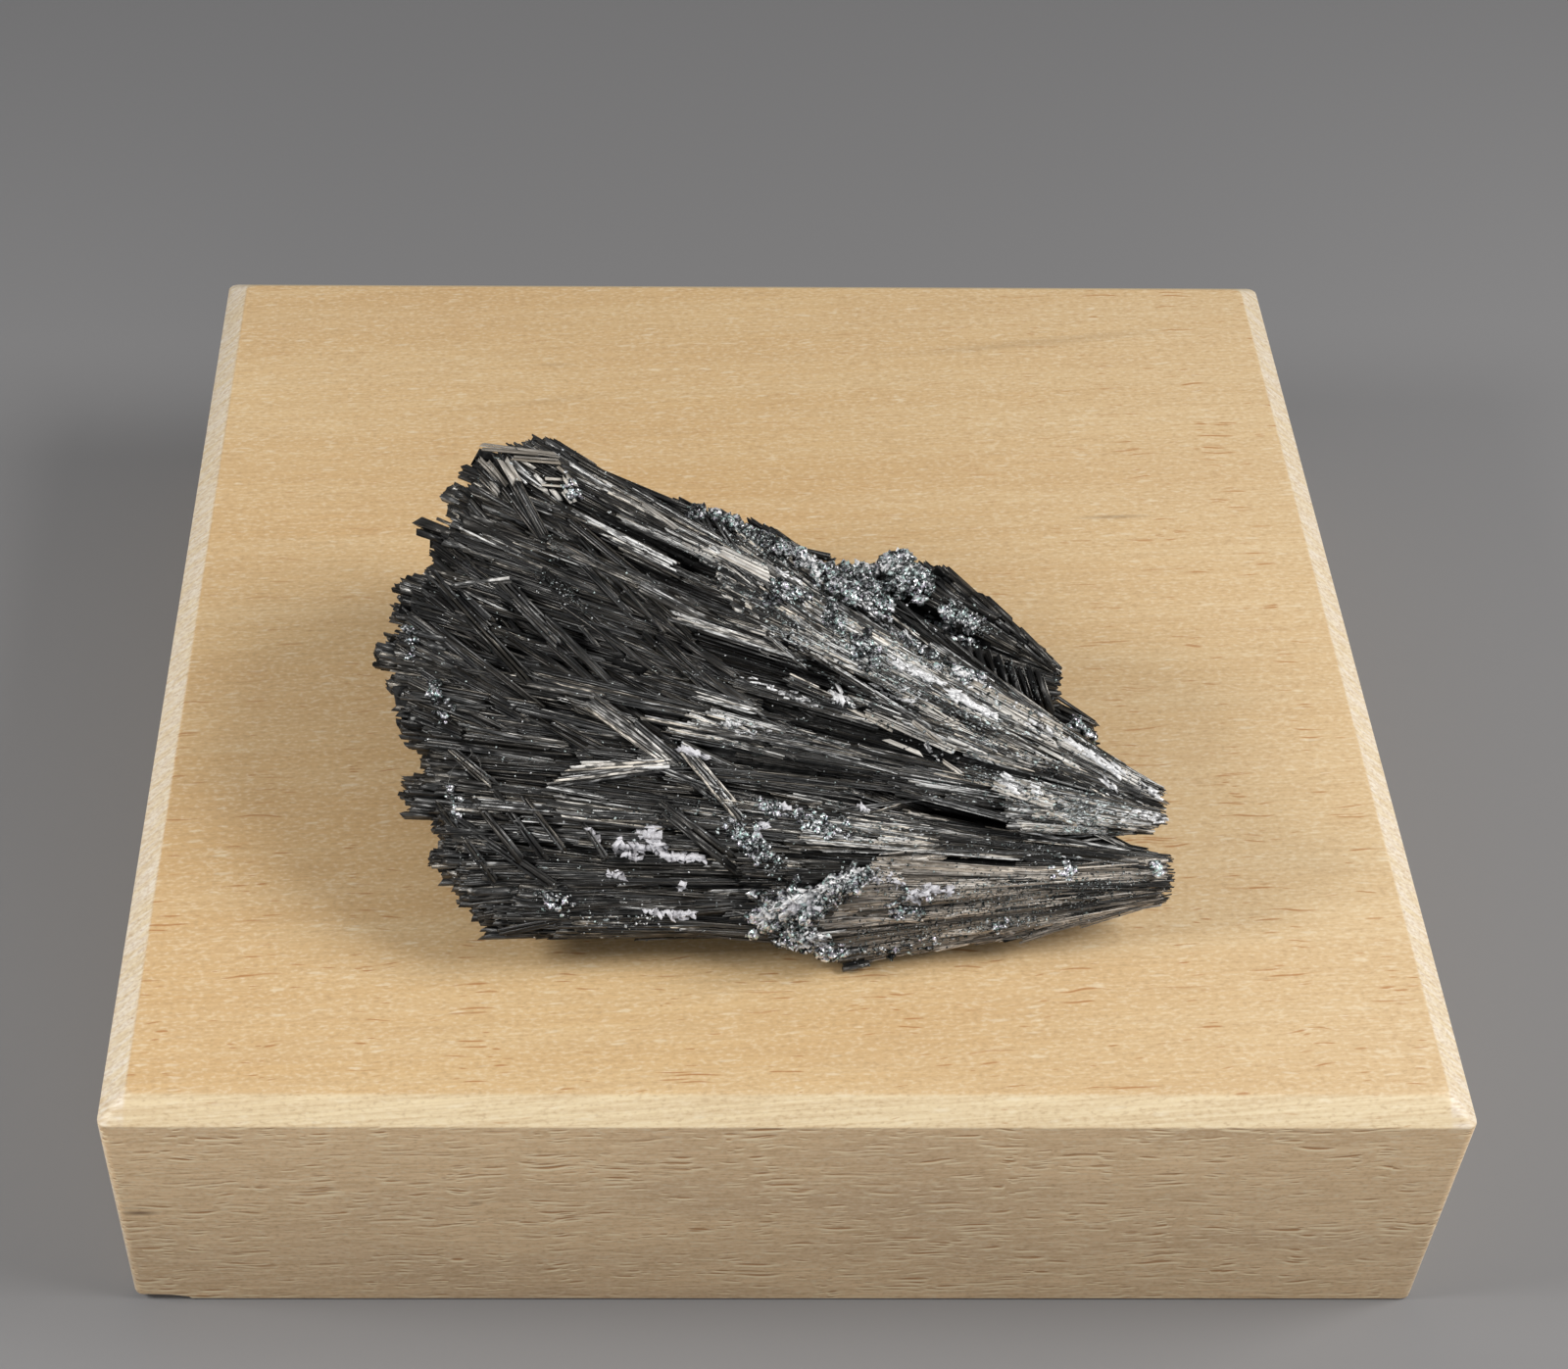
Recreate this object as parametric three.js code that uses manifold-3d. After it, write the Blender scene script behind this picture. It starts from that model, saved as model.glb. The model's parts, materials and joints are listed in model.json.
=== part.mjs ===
// Zinkenite specimen: a radiating spray of lath-like crystals that rests on a chamfered wooden
// display block.
// Millimetres, +Z up. X runs along the block's front edge, Y from the front to the back, and the
// origin is the middle of the block's underside.

import * as THREE from "three";
import { mergeVertices } from "three/addons/utils/BufferGeometryUtils.js";
import Module from "manifold-3d";

const wasm = await Module();
wasm.setup();

// Display block
const blockSide = 76.2;
const blockHeight = 18.45;
const chamferWidth = 1.6;
const chamferDrop = 1.1;
const cornerRadius = 0.9;
const cornerSteps = 4;

// The crystals stand this far clear of the wood
const restGap = 0.25;
const groundZ = blockHeight + restGap;

// A sheaf's body is drawn through rings at these shares of the way from its root to its rim
const ringStations = [0, 0.35, 0.7, 1];
const coveredSteps = 6;

// How far the ridges of a body stand up and its grooves sink, and how far each runs past the rim
const ridgeRise = [0.15, 0.5];
const grooveRise = [-0.45, -0.15];
const coveredRise = -0.3;
const ridgeReach = [-0.8, 1.4];
const grooveReach = [-1.8, -0.4];

// Edges that the cuts leave shorter than this are closed up
const shortestEdge = 0.01;

// The laths over a body and the stubby knobs over its broad end
const lathHeight = [1.0, 1.5];
const lathTip = [0.2, 0.9];
const knobWidth = [1.2, 2.2];
const knobHeight = [0.9, 1.5];
const knobRoot = 2.5;
const crossLathHeight = 0.8;

// Points on the specimen are given as x, y and height above the block's top
const point = (x, y, height) => new THREE.Vector3(x, y, blockHeight + height);

// Each sheaf of crystals radiates from a small root to a broad end. The rim is the outline of the
// broad end, crown is how far the middle of the broad end stands out past it, and open is the part
// of the rim, as shares of its length from the first point, that no neighbour covers. That part has
// a number of ridges and of broken laths over them. Each knob ring is how far its knobs lie from
// the middle of the broad end to the rim, and how many there are.
const upperSheaf = {
  seed: 13,
  root: { centre: point(21.2, -22.2, 7.6), spreadY: 1.1, spreadZ: 1.2 },
  rim: [
    point(-14.8, -1.4, 17.0), point(-17.2, -3.0, 16.4), point(-19.0, -5.8, 15.2),
    point(-20.4, -9.6, 14.1), point(-21.8, -13.4, 12.8), point(-21.6, -16.8, 11.4),
    point(-20.4, -19.0, 9.8), point(-19.2, -18.6, 6.0), point(-19.0, -13.0, 2.6),
    point(-17.4, -8.0, 0.1), point(-15.2, -1.6, 0.1), point(-13.4, 2.2, 4.6),
    point(-12.8, 2.4, 11.6),
  ],
  crown: 2.5,
  open: [-0.27, 0.38],
  ridges: 24,
  broken: 24,
  lathWidth: 1.1,
  knobRings: [[0.35, 4], [0.62, 7], [0.86, 11]],
};

const ridgeSheaf = {
  seed: 23,
  root: { centre: point(20.2, -21.6, 8.1), spreadY: 1.0, spreadZ: 0.8 },
  rim: [
    point(-2.8, -4.8, 14.0), point(-4.2, -7.4, 14.8), point(-3.4, -10.8, 14.4),
    point(-0.8, -13.6, 13.4), point(1.0, -14.2, 11.4), point(1.2, -9.0, 10.2),
    point(0.8, -5.4, 10.4), point(-0.4, -4.4, 12.2),
  ],
  crown: 1.0,
  open: [-0.2, 0.46],
  ridges: 7,
  broken: 7,
  lathWidth: 1.0,
  knobRings: [[0.5, 4]],
};

const tipSheaf = {
  seed: 29,
  root: { centre: point(20.8, -22.8, 7.0), spreadY: 0.5, spreadZ: 0.6 },
  rim: [
    point(12.0, -21.6, 9.4), point(12.4, -23.0, 8.5), point(13.2, -23.5, 7.1),
    point(13.6, -22.4, 6.4), point(13.2, -21.0, 7.4),
  ],
  crown: 0.4,
  open: [-0.1, 0.5],
  ridges: 4,
  broken: 3,
  lathWidth: 0.7,
  knobRings: [],
};

const lowerSheaf = {
  seed: 37,
  root: { centre: point(21.8, -24.4, 4.4), spreadY: 0.7, spreadZ: 1.3 },
  rim: [
    point(-20.0, -19.0, 9.8), point(-19.6, -21.4, 9.0), point(-19.0, -23.6, 7.7),
    point(-18.4, -25.2, 6.3), point(-17.2, -26.8, 5.0), point(-16.0, -27.4, 3.6),
    point(-15.8, -25.6, 2.6), point(-17.4, -19.0, 2.0), point(-18.6, -15.0, 5.0),
    point(-19.2, -15.4, 8.6),
  ],
  crown: 1.4,
  open: [-0.08, 0.46],
  ridges: 12,
  broken: 9,
  lathWidth: 0.9,
  knobRings: [[0.45, 3], [0.8, 8]],
};

const frontKeel = {
  seed: 43,
  root: { centre: point(8.0, -25.6, 1.6), spreadY: 0.8, spreadZ: 0.9 },
  rim: [
    point(-15.0, -26.8, 5.4), point(-15.4, -27.6, 4.4), point(-15.2, -27.6, 3.6),
    point(-14.8, -26.8, 2.4), point(-14.6, -24.6, 2.2), point(-14.8, -24.6, 4.8),
  ],
  crown: 0.6,
  open: [-0.05, 0.55],
  ridges: 5,
  broken: 0,
  lathWidth: 0.9,
  knobRings: [[0.6, 3]],
};

const frontWedge = {
  seed: 41,
  root: { centre: point(21.6, -24.8, 3.8), spreadY: 0.6, spreadZ: 1.1 },
  rim: [
    point(3.2, -26.4, 6.8), point(0.6, -27.6, 5.8), point(-0.4, -28.0, 3.6),
    point(1.6, -28.0, 1.2), point(3.6, -27.8, 0.1), point(4.2, -23.8, 0.6),
    point(4.4, -23.8, 5.2),
  ],
  crown: 0.6,
  open: [-0.1, 0.48],
  ridges: 8,
  broken: 6,
  lathWidth: 0.8,
  knobRings: [[0.6, 6]],
};

const rearSheaf = {
  seed: 53,
  root: { centre: point(16.5, -12.1, 7.1), spreadY: 1.1, spreadZ: 1.3 },
  rim: [
    point(10.2, -6.9, 11.4), point(6.8, -7.0, 11.8), point(4.6, -7.2, 10.4),
    point(3.8, -10.6, 9.6), point(6.0, -13.0, 7.0), point(7.0, -11.0, 1.6),
    point(7.6, -6.0, 0.1), point(9.0, -3.6, 2.0), point(9.4, -3.6, 7.6),
  ],
  crown: 1.2,
  open: [-0.42, 0.36],
  ridges: 12,
  broken: 7,
  lathWidth: 1.0,
  knobRings: [[0.5, 4], [0.85, 8]],
};

const rearLobe = {
  seed: 61,
  root: { centre: point(19.2, -12.6, 3.0), spreadY: 1.2, spreadZ: 1.2 },
  rim: [
    point(9.0, -8.6, 7.0), point(8.4, -12.6, 6.6), point(9.0, -14.6, 3.6),
    point(9.4, -12.6, 0.5), point(9.0, -7.4, 0.1), point(9.0, -5.2, 3.4),
  ],
  crown: 0.6,
  open: [-0.4, 0.3],
  ridges: 7,
  broken: 4,
  lathWidth: 1.0,
  knobRings: [],
};

// The crystals grown together behind the cleft between the upper and the lower sheaf
const cleftWeb = {
  seed: 67,
  root: { centre: point(18.2, -22.8, 4.4), spreadY: 0.8, spreadZ: 0.7 },
  rim: [
    point(1.0, -15.0, 8.6), point(1.0, -20.0, 7.0), point(1.4, -23.6, 5.2),
    point(1.4, -23.0, 2.4), point(1.0, -16.0, 1.6),
  ],
  crown: 0.4,
  open: [-0.1, 0.45],
  ridges: 6,
  broken: 0,
  lathWidth: 0.9,
  knobRings: [],
};

const sheaves = [
  upperSheaf, ridgeSheaf, tipSheaf, lowerSheaf, frontKeel, frontWedge, rearSheaf, rearLobe,
  cleftWeb,
];

// Later laths that lie across the sheaves: where each starts and ends, its width, and how many
// lie side by side
const crossLaths = [
  { from: point(-11.2, -17.8, 11.3), to: point(-3.4, -22.0, 7.8), width: 0.7, count: 3 },
  { from: point(-5.7, -20.1, 10.0), to: point(-2.6, -22.9, 7.6), width: 0.6, count: 1 },
  { from: point(-6.9, -22.7, 7.9), to: point(-2.9, -25.0, 5.8), width: 0.7, count: 2 },
  { from: point(-19.6, -10.9, 13.8), to: point(-14.4, -16.3, 11.4), width: 0.6, count: 1 },
  { from: point(-16.4, -10.5, 13.8), to: point(-12.8, -14.7, 12.9), width: 0.6, count: 1 },
  { from: point(-19.0, -10.7, 13.7), to: point(-15.8, -10.3, 13.8), width: 0.5, count: 1 },
  { from: point(-13.6, -21.1, 8.7), to: point(-7.0, -20.2, 9.2), width: 0.6, count: 1 },
  { from: point(-19.6, -22.4, 7.9), to: point(-16.3, -26.2, 5.4), width: 0.6, count: 1 },
  { from: point(-18.6, -23.2, 7.6), to: point(-13.2, -26.2, 5.4), width: 0.6, count: 1 },
  { from: point(-18.2, -2.9, 16.9), to: point(-12.4, -4.6, 16.2), width: 1.1, count: 2 },
  { from: point(-18.4, -5.0, 16.0), to: point(-14.6, -6.0, 15.8), width: 0.9, count: 1 },
];

// Druse: small bright crystals in a crust, as patches with a middle, a spread and a count
const drusePatches = [
  { middle: point(6.3, -7.6, 11.4), spread: [1.9, 0.8, 0.6], count: 9, size: 0.75 },
  { middle: point(11.2, -9.5, 9.9), spread: [1.0, 0.4, 0.3], count: 3, size: 0.7 },
  { middle: point(0.6, -27.0, 4.6), spread: [0.9, 0.5, 2.0], count: 7, size: 0.75 },
  { middle: point(-1.6, -24.7, 6.6), spread: [1.4, 0.7, 0.7], count: 4, size: 0.7 },
];

// The small open pit in the rear crust, leaning forward by so many radians
const pit = { mouth: point(9.4, -9.2, 9.9), lean: 0.75, radius: 0.75, depth: 3.2 };

// The cleft under the upper sheaf: the ways out of it and across its mouth, and points along the
// mouth with its half opening and depth there
const cleftOutward = new THREE.Vector3(0, -0.78, 0.62);
const cleftAcross = new THREE.Vector3(0, 0.62, 0.78);
const cleftClearance = 1.2;
const cleft = [
  { at: point(2.0, -20.4, 8.6), opening: 0.2, depth: 0.8 },
  { at: point(6.0, -21.6, 8.0), opening: 0.75, depth: 2.6 },
  { at: point(11.0, -22.9, 7.1), opening: 0.6, depth: 2.4 },
  { at: point(16.0, -23.7, 6.6), opening: 0.35, depth: 1.6 },
];

// A repeatable stream of numbers from 0 to 1
function numberStream(seed) {
  let state = seed * 7919 + 12345;
  return (low = 0, high = 1) => {
    state = (state * 1664525 + 1013904223) % 4294967296;
    return low + (high - low) * (state / 4294967296);
  };
}

// A closed geometry through rings of equal size, with each end drawn to a point
function loft(rings, startPoint, endPoint) {
  const size = rings[0].length;
  const points = [startPoint, ...rings.flat(), endPoint];
  const last = points.length - 1;
  const index = [];
  for (let i = 0; i < size; i += 1) {
    const next = (i + 1) % size;
    index.push(0, 1 + next, 1 + i);
    for (let ring = 0; ring < rings.length - 1; ring += 1) {
      const near = 1 + ring * size;
      const far = near + size;
      index.push(near + i, near + next, far + next, near + i, far + next, far + i);
    }
    const outer = 1 + (rings.length - 1) * size;
    index.push(outer + i, outer + next, last);
  }
  const geometry = new THREE.BufferGeometry().setFromPoints(points);
  geometry.setIndex(index);
  return geometry;
}

// Six times the volume of a closed geometry, negative where its faces point inwards
function sixfoldVolume(positions, index) {
  const a = new THREE.Vector3();
  const b = new THREE.Vector3();
  const c = new THREE.Vector3();
  let total = 0;
  for (let i = 0; i < index.length; i += 3) {
    a.fromArray(positions, index[i] * 3);
    b.fromArray(positions, index[i + 1] * 3);
    c.fromArray(positions, index[i + 2] * 3);
    total += a.dot(b.cross(c));
  }
  return total;
}

// A closed geometry as a solid that can be joined and cut
function solid(geometry) {
  const bare = geometry.clone();
  bare.deleteAttribute("normal");
  bare.deleteAttribute("uv");
  const merged = mergeVertices(bare, 1e-5);
  const vertProperties = new Float32Array(merged.attributes.position.array);
  const triVerts = new Uint32Array(merged.index.array);
  if (sixfoldVolume(vertProperties, triVerts) < 0) {
    for (let i = 0; i < triVerts.length; i += 3) {
      [triVerts[i], triVerts[i + 1]] = [triVerts[i + 1], triVerts[i]];
    }
  }
  return new wasm.Manifold(new wasm.Mesh({ numProp: 3, vertProperties, triVerts }));
}

// A joined solid as a geometry with flat faces
function geometryOf(body) {
  const { vertProperties, triVerts } = body.getMesh();
  const geometry = new THREE.BufferGeometry();
  geometry.setAttribute("position", new THREE.Float32BufferAttribute(vertProperties, 3));
  geometry.setIndex([...triVerts]);
  const flat = geometry.toNonIndexed();
  flat.computeVertexNormals();
  return flat;
}

// One lath: a bar with a ridge, or with a flat top, that widens from start to end and closes in a
// skewed point
function lath(start, end, side, size) {
  const along = end.clone().sub(start).normalize();
  const across = side.clone().addScaledVector(along, -side.dot(along)).normalize();
  const up = new THREE.Vector3().crossVectors(along, across);
  const top = size.flat ? [[0.4, 0.5], [-0.4, 0.5]] : [[size.skew * 0.6, 0.5]];
  const corners = [[0.5, -0.5], ...top, [-0.5, -0.5]];
  const ring = (centre, scale) => corners.map(([s, u]) => centre.clone()
    .addScaledVector(across, s * size.width * scale)
    .addScaledVector(up, u * size.height * scale));
  const tip = end.clone()
    .addScaledVector(along, size.point)
    .addScaledVector(across, size.skew * size.width);
  return solid(loft([ring(start, size.startScale), ring(end, 1)], start, tip));
}

// The rays of a sheaf: u goes once round its rim
function sheafRays(sheaf) {
  const curve = new THREE.CatmullRomCurve3(sheaf.rim, true, "centripetal");
  const middle = new THREE.Vector3();
  sheaf.rim.forEach((corner) => middle.addScaledVector(corner, 1 / sheaf.rim.length));
  const { centre, spreadY, spreadZ } = sheaf.root;
  return (u) => {
    const turn = (u % 1 + 1) % 1;
    const rim = curve.getPointAt(turn);
    const bearing = Math.atan2(rim.z - middle.z, rim.y - middle.y);
    const root = centre.clone();
    root.y += spreadY * Math.cos(bearing);
    root.z += spreadZ * Math.sin(bearing);
    const along = rim.clone().sub(root).normalize();
    const side = curve.getTangentAt(turn);
    side.addScaledVector(along, -side.dot(along)).normalize();
    const out = new THREE.Vector3().crossVectors(side, along);
    if (out.dot(rim.clone().sub(middle)) < 0) out.negate();
    return { rim, root, along, side, out, middle };
  };
}

// The body of a sheaf: whole laths side by side, as ridges that run from the root to the rim and
// end in teeth of unequal length. The covered part of the rim is plain.
function sheafBody(sheaf) {
  const random = numberStream(sheaf.seed);
  const rayAt = sheafRays(sheaf);
  const [openFrom, openTo] = sheaf.open;
  const corners = [];
  for (let i = 0; i <= sheaf.ridges * 2; i += 1) {
    const isRidge = i % 2 === 1;
    const share = (i + random(-0.35, 0.35)) / (sheaf.ridges * 2);
    corners.push({
      u: THREE.MathUtils.lerp(openFrom, openTo, share),
      rise: random(...(isRidge ? ridgeRise : grooveRise)),
      reach: random(...(isRidge ? ridgeReach : grooveReach)),
    });
  }
  for (let i = 1; i < coveredSteps; i += 1) {
    corners.push({
      u: THREE.MathUtils.lerp(openTo, openFrom + 1, i / coveredSteps),
      rise: coveredRise,
      reach: 0,
    });
  }
  const rings = ringStations.map((station) => corners.map(({ u, rise, reach }) => {
    const ray = rayAt(u);
    const fade = random(0.2, 1) * station + (station === 1 ? 0 : 0.1);
    const atRim = station === 1 ? 1 : 0;
    return ray.root.clone().lerp(ray.rim, station)
      .addScaledVector(ray.out, rise * fade)
      .addScaledVector(ray.along, reach * atRim);
  }));
  return solid(loft(rings, sheaf.root.centre, crownOf(sheaf)));
}

// The middle of a sheaf's broad face
function crownOf(sheaf) {
  const { middle } = sheafRays(sheaf)(0);
  const outward = middle.clone().sub(sheaf.root.centre).normalize();
  return middle.addScaledVector(outward, sheaf.crown);
}

// Broken laths that lie over the body, and stubby ends over the broad face
function sheafLaths(sheaf) {
  const random = numberStream(sheaf.seed + 1);
  const rayAt = sheafRays(sheaf);
  const laths = [];
  for (let i = 0; i < sheaf.broken; i += 1) {
    const share = (i + random()) / sheaf.broken;
    const ray = rayAt(THREE.MathUtils.lerp(...sheaf.open, share));
    const to = Math.sqrt(random(0.1, 1.04));
    const from = Math.max(to - random(0.15, 0.4), 0.04);
    const lift = random(0.1, 0.5);
    const start = ray.root.clone().lerp(ray.rim, from).addScaledVector(ray.out, lift * from);
    const end = ray.root.clone().lerp(ray.rim, to).addScaledVector(ray.out, lift);
    const side = ray.side.clone().addScaledVector(ray.out, random(-0.4, 0.4));
    // Side crossed with the ray has to point out of the sheaf
    if (new THREE.Vector3().crossVectors(ray.along, side).dot(ray.out) < 0) side.negate();
    laths.push(lath(start, end, side, {
      width: sheaf.lathWidth * random(0.7, 1.3) * (0.4 + 0.6 * to),
      height: random(...lathHeight),
      startScale: 0.6,
      point: random(...lathTip),
      skew: random(-0.4, 0.4),
      flat: random() < 0.4,
    }));
  }
  const crown = crownOf(sheaf);
  sheaf.knobRings.forEach(([share, count]) => {
    for (let i = 0; i < count; i += 1) {
      const ray = rayAt((i + random(-0.3, 0.3)) / count);
      const foot = crown.clone().lerp(ray.rim, share + random(-0.06, 0.06));
      const end = foot.clone().addScaledVector(ray.along, random(0.1, 1.5));
      laths.push(lath(foot.addScaledVector(ray.along, -knobRoot), end, ray.side, {
        width: random(...knobWidth),
        height: random(...knobHeight),
        startScale: 0.8,
        point: random(0.2, 0.7),
        skew: random(-0.4, 0.4),
      }));
    }
  });
  return laths;
}

function displayBlock() {
  const outline = (side, z) => {
    const ring = [];
    const inner = side / 2 - cornerRadius;
    [[1, 1], [-1, 1], [-1, -1], [1, -1]].forEach(([signX, signY], corner) => {
      for (let i = 0; i <= cornerSteps; i += 1) {
        const turn = (corner + i / cornerSteps) * Math.PI / 2;
        ring.push(new THREE.Vector3(
          signX * inner + cornerRadius * Math.cos(turn),
          signY * inner + cornerRadius * Math.sin(turn),
          z,
        ));
      }
    });
    return ring;
  };
  const rings = [
    outline(blockSide, 0),
    outline(blockSide, blockHeight - chamferDrop),
    outline(blockSide - 2 * chamferWidth, blockHeight),
  ];
  return geometryOf(solid(loft(rings, new THREE.Vector3(), new THREE.Vector3(0, 0, blockHeight))));
}

// The laths that cross the sheaves, side by side on the surface they lie on
function layCrossLaths() {
  const random = numberStream(71);
  const upright = new THREE.Vector3(0, -0.55, 0.83);
  return crossLaths.flatMap(({ from, to, width, count }) => {
    const side = to.clone().sub(from).cross(upright).normalize();
    return Array.from({ length: count }, (_, i) => {
      const shift = side.clone().multiplyScalar((i - (count - 1) / 2) * width * 0.9);
      const start = from.clone().add(shift);
      const end = to.clone().add(shift).lerp(start, random(0, 0.15));
      start.lerp(end, random(0, 0.15));
      return lath(start, end, side.clone().negate(), {
        width,
        height: crossLathHeight,
        startScale: 0.9,
        point: 0.2,
        skew: random(-0.3, 0.3),
        flat: true,
      });
    });
  });
}

// Small eight-sided crystals, each turned and stretched its own way
function growDruse() {
  const random = numberStream(86);
  return drusePatches.flatMap(({ middle, spread, count, size }) => (
    Array.from({ length: count }, () => {
      const crystal = new THREE.OctahedronGeometry(size);
      crystal.scale(random(0.6, 1), random(0.6, 1), random(0.8, 1.3));
      crystal.rotateX(random(0, Math.PI));
      crystal.rotateZ(random(0, Math.PI));
      const [x, y, z] = spread.map((reach) => random(-reach, reach));
      crystal.translate(middle.x + x, middle.y + y, middle.z + z);
      return solid(crystal);
    })
  ));
}

function pitCutter() {
  const hollow = new THREE.CylinderGeometry(pit.radius, pit.radius * 0.6, pit.depth, 7);
  hollow.rotateX(Math.PI / 2 + pit.lean);
  hollow.translate(pit.mouth.x, pit.mouth.y, pit.mouth.z);
  return solid(hollow);
}

// A wedge whose section is a triangle, with its mouth to the front and its edge under the sheaf
function cleftCutter() {
  const rings = cleft.map(({ at, opening, depth }) => {
    const mouth = at.clone().addScaledVector(cleftOutward, cleftClearance);
    return [
      mouth.clone().addScaledVector(cleftAcross, opening),
      mouth.clone().addScaledVector(cleftAcross, -opening),
      at.clone().addScaledVector(cleftOutward, -depth),
    ];
  });
  return solid(loft(rings, cleft[0].at, cleft.at(-1).at));
}

// Everything under the resting height is cut away, so that the lowest crystals end flat
function groundCutter() {
  const reach = 120;
  const slab = new THREE.BoxGeometry(reach, reach, reach);
  slab.translate(0, 0, groundZ - reach / 2);
  return solid(slab);
}

function crystalCluster() {
  const grown = sheaves.flatMap((sheaf) => [sheafBody(sheaf), ...sheafLaths(sheaf)]);
  const cleftBody = wasm.Manifold.union(grown).subtract(cleftCutter());
  const whole = wasm.Manifold.union([cleftBody, ...layCrossLaths(), ...growDruse()])
    .subtract(pitCutter())
    .subtract(groundCutter());
  // Only the main body is kept, without loose splinters or sealed gaps between laths
  const [largest] = whole.decompose().sort((a, b) => b.volume() - a.volume());
  return geometryOf(largest.simplify(shortestEdge));
}

const paleWood = new THREE.MeshStandardMaterial({ color: 0xd8b47e, roughness: 0.6, metalness: 0 });
const sulfosalt = new THREE.MeshStandardMaterial({ color: 0x3a3b3d, roughness: 0.35, metalness: 0.8 });

const block = new THREE.Mesh(displayBlock(), paleWood);
block.name = "display_block";

const cluster = new THREE.Mesh(crystalCluster(), sulfosalt);
cluster.name = "zinkenite_cluster";

const specimen = new THREE.Group();
specimen.add(block, cluster);

export default specimen;
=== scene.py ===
# Zinkenite specimen on a wooden display block: the looks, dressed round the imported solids.
# Tables are in millimetres. The crystals' heights are above the block's top, and those of the
# camera, the lamps and the block itself are above the floor.

import json
import math
import bpy
import numpy as np
from mathutils import Matrix, Vector
from mathutils.bvhtree import BVHTree

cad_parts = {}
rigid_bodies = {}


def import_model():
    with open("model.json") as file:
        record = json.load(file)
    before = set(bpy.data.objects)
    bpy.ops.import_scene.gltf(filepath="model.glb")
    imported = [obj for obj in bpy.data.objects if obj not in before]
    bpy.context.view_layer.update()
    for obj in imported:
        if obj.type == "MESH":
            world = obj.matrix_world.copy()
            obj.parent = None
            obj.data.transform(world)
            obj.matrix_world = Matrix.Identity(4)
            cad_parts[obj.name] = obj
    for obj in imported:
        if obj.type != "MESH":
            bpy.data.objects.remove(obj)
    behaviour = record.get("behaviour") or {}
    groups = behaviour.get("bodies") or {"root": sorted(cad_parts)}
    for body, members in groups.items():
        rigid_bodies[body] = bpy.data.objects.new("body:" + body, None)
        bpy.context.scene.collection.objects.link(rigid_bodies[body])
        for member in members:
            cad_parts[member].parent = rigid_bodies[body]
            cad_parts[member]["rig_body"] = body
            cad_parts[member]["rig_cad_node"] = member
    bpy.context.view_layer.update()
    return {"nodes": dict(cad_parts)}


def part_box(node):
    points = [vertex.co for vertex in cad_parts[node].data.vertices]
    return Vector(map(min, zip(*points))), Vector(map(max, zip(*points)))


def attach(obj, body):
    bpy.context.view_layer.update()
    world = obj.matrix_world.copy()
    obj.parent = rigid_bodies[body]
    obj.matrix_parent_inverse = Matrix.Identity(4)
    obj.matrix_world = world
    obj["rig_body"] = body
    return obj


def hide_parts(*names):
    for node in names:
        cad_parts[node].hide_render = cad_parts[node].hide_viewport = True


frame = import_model()
mm = 0.001
blockLow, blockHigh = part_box("display_block")
blockTop = blockHigh.z / mm
print("frame loaded")


# small helpers

def selectOnly(piece=None):
    # one piece alone, or nothing
    bpy.ops.object.select_all(action="DESELECT")
    if piece:
        piece.select_set(True)
        bpy.context.view_layer.objects.active = piece


def settle(piece):
    # place goes into the mesh, and the piece rides on the one body
    selectOnly(piece)
    bpy.ops.object.transform_apply(location=True, rotation=True, scale=True)
    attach(piece, "root")


def unit(rows):
    return rows / np.maximum(np.linalg.norm(rows, axis=-1, keepdims=True), 1e-9)


def squared(rows, to):
    # each row turned square to the other, at unit length
    return unit(rows - to * np.sum(rows * to, axis=1, keepdims=True))


def runOf(line):
    # how far along the line each of its points lies
    return np.concatenate([[0], np.cumsum(np.linalg.norm(np.diff(line, axis=0), axis=1))])


def pointsOn(line, run, places):
    return np.stack([np.interp(places, run, line[:, k]) for k in range(3)], axis=1)


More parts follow.
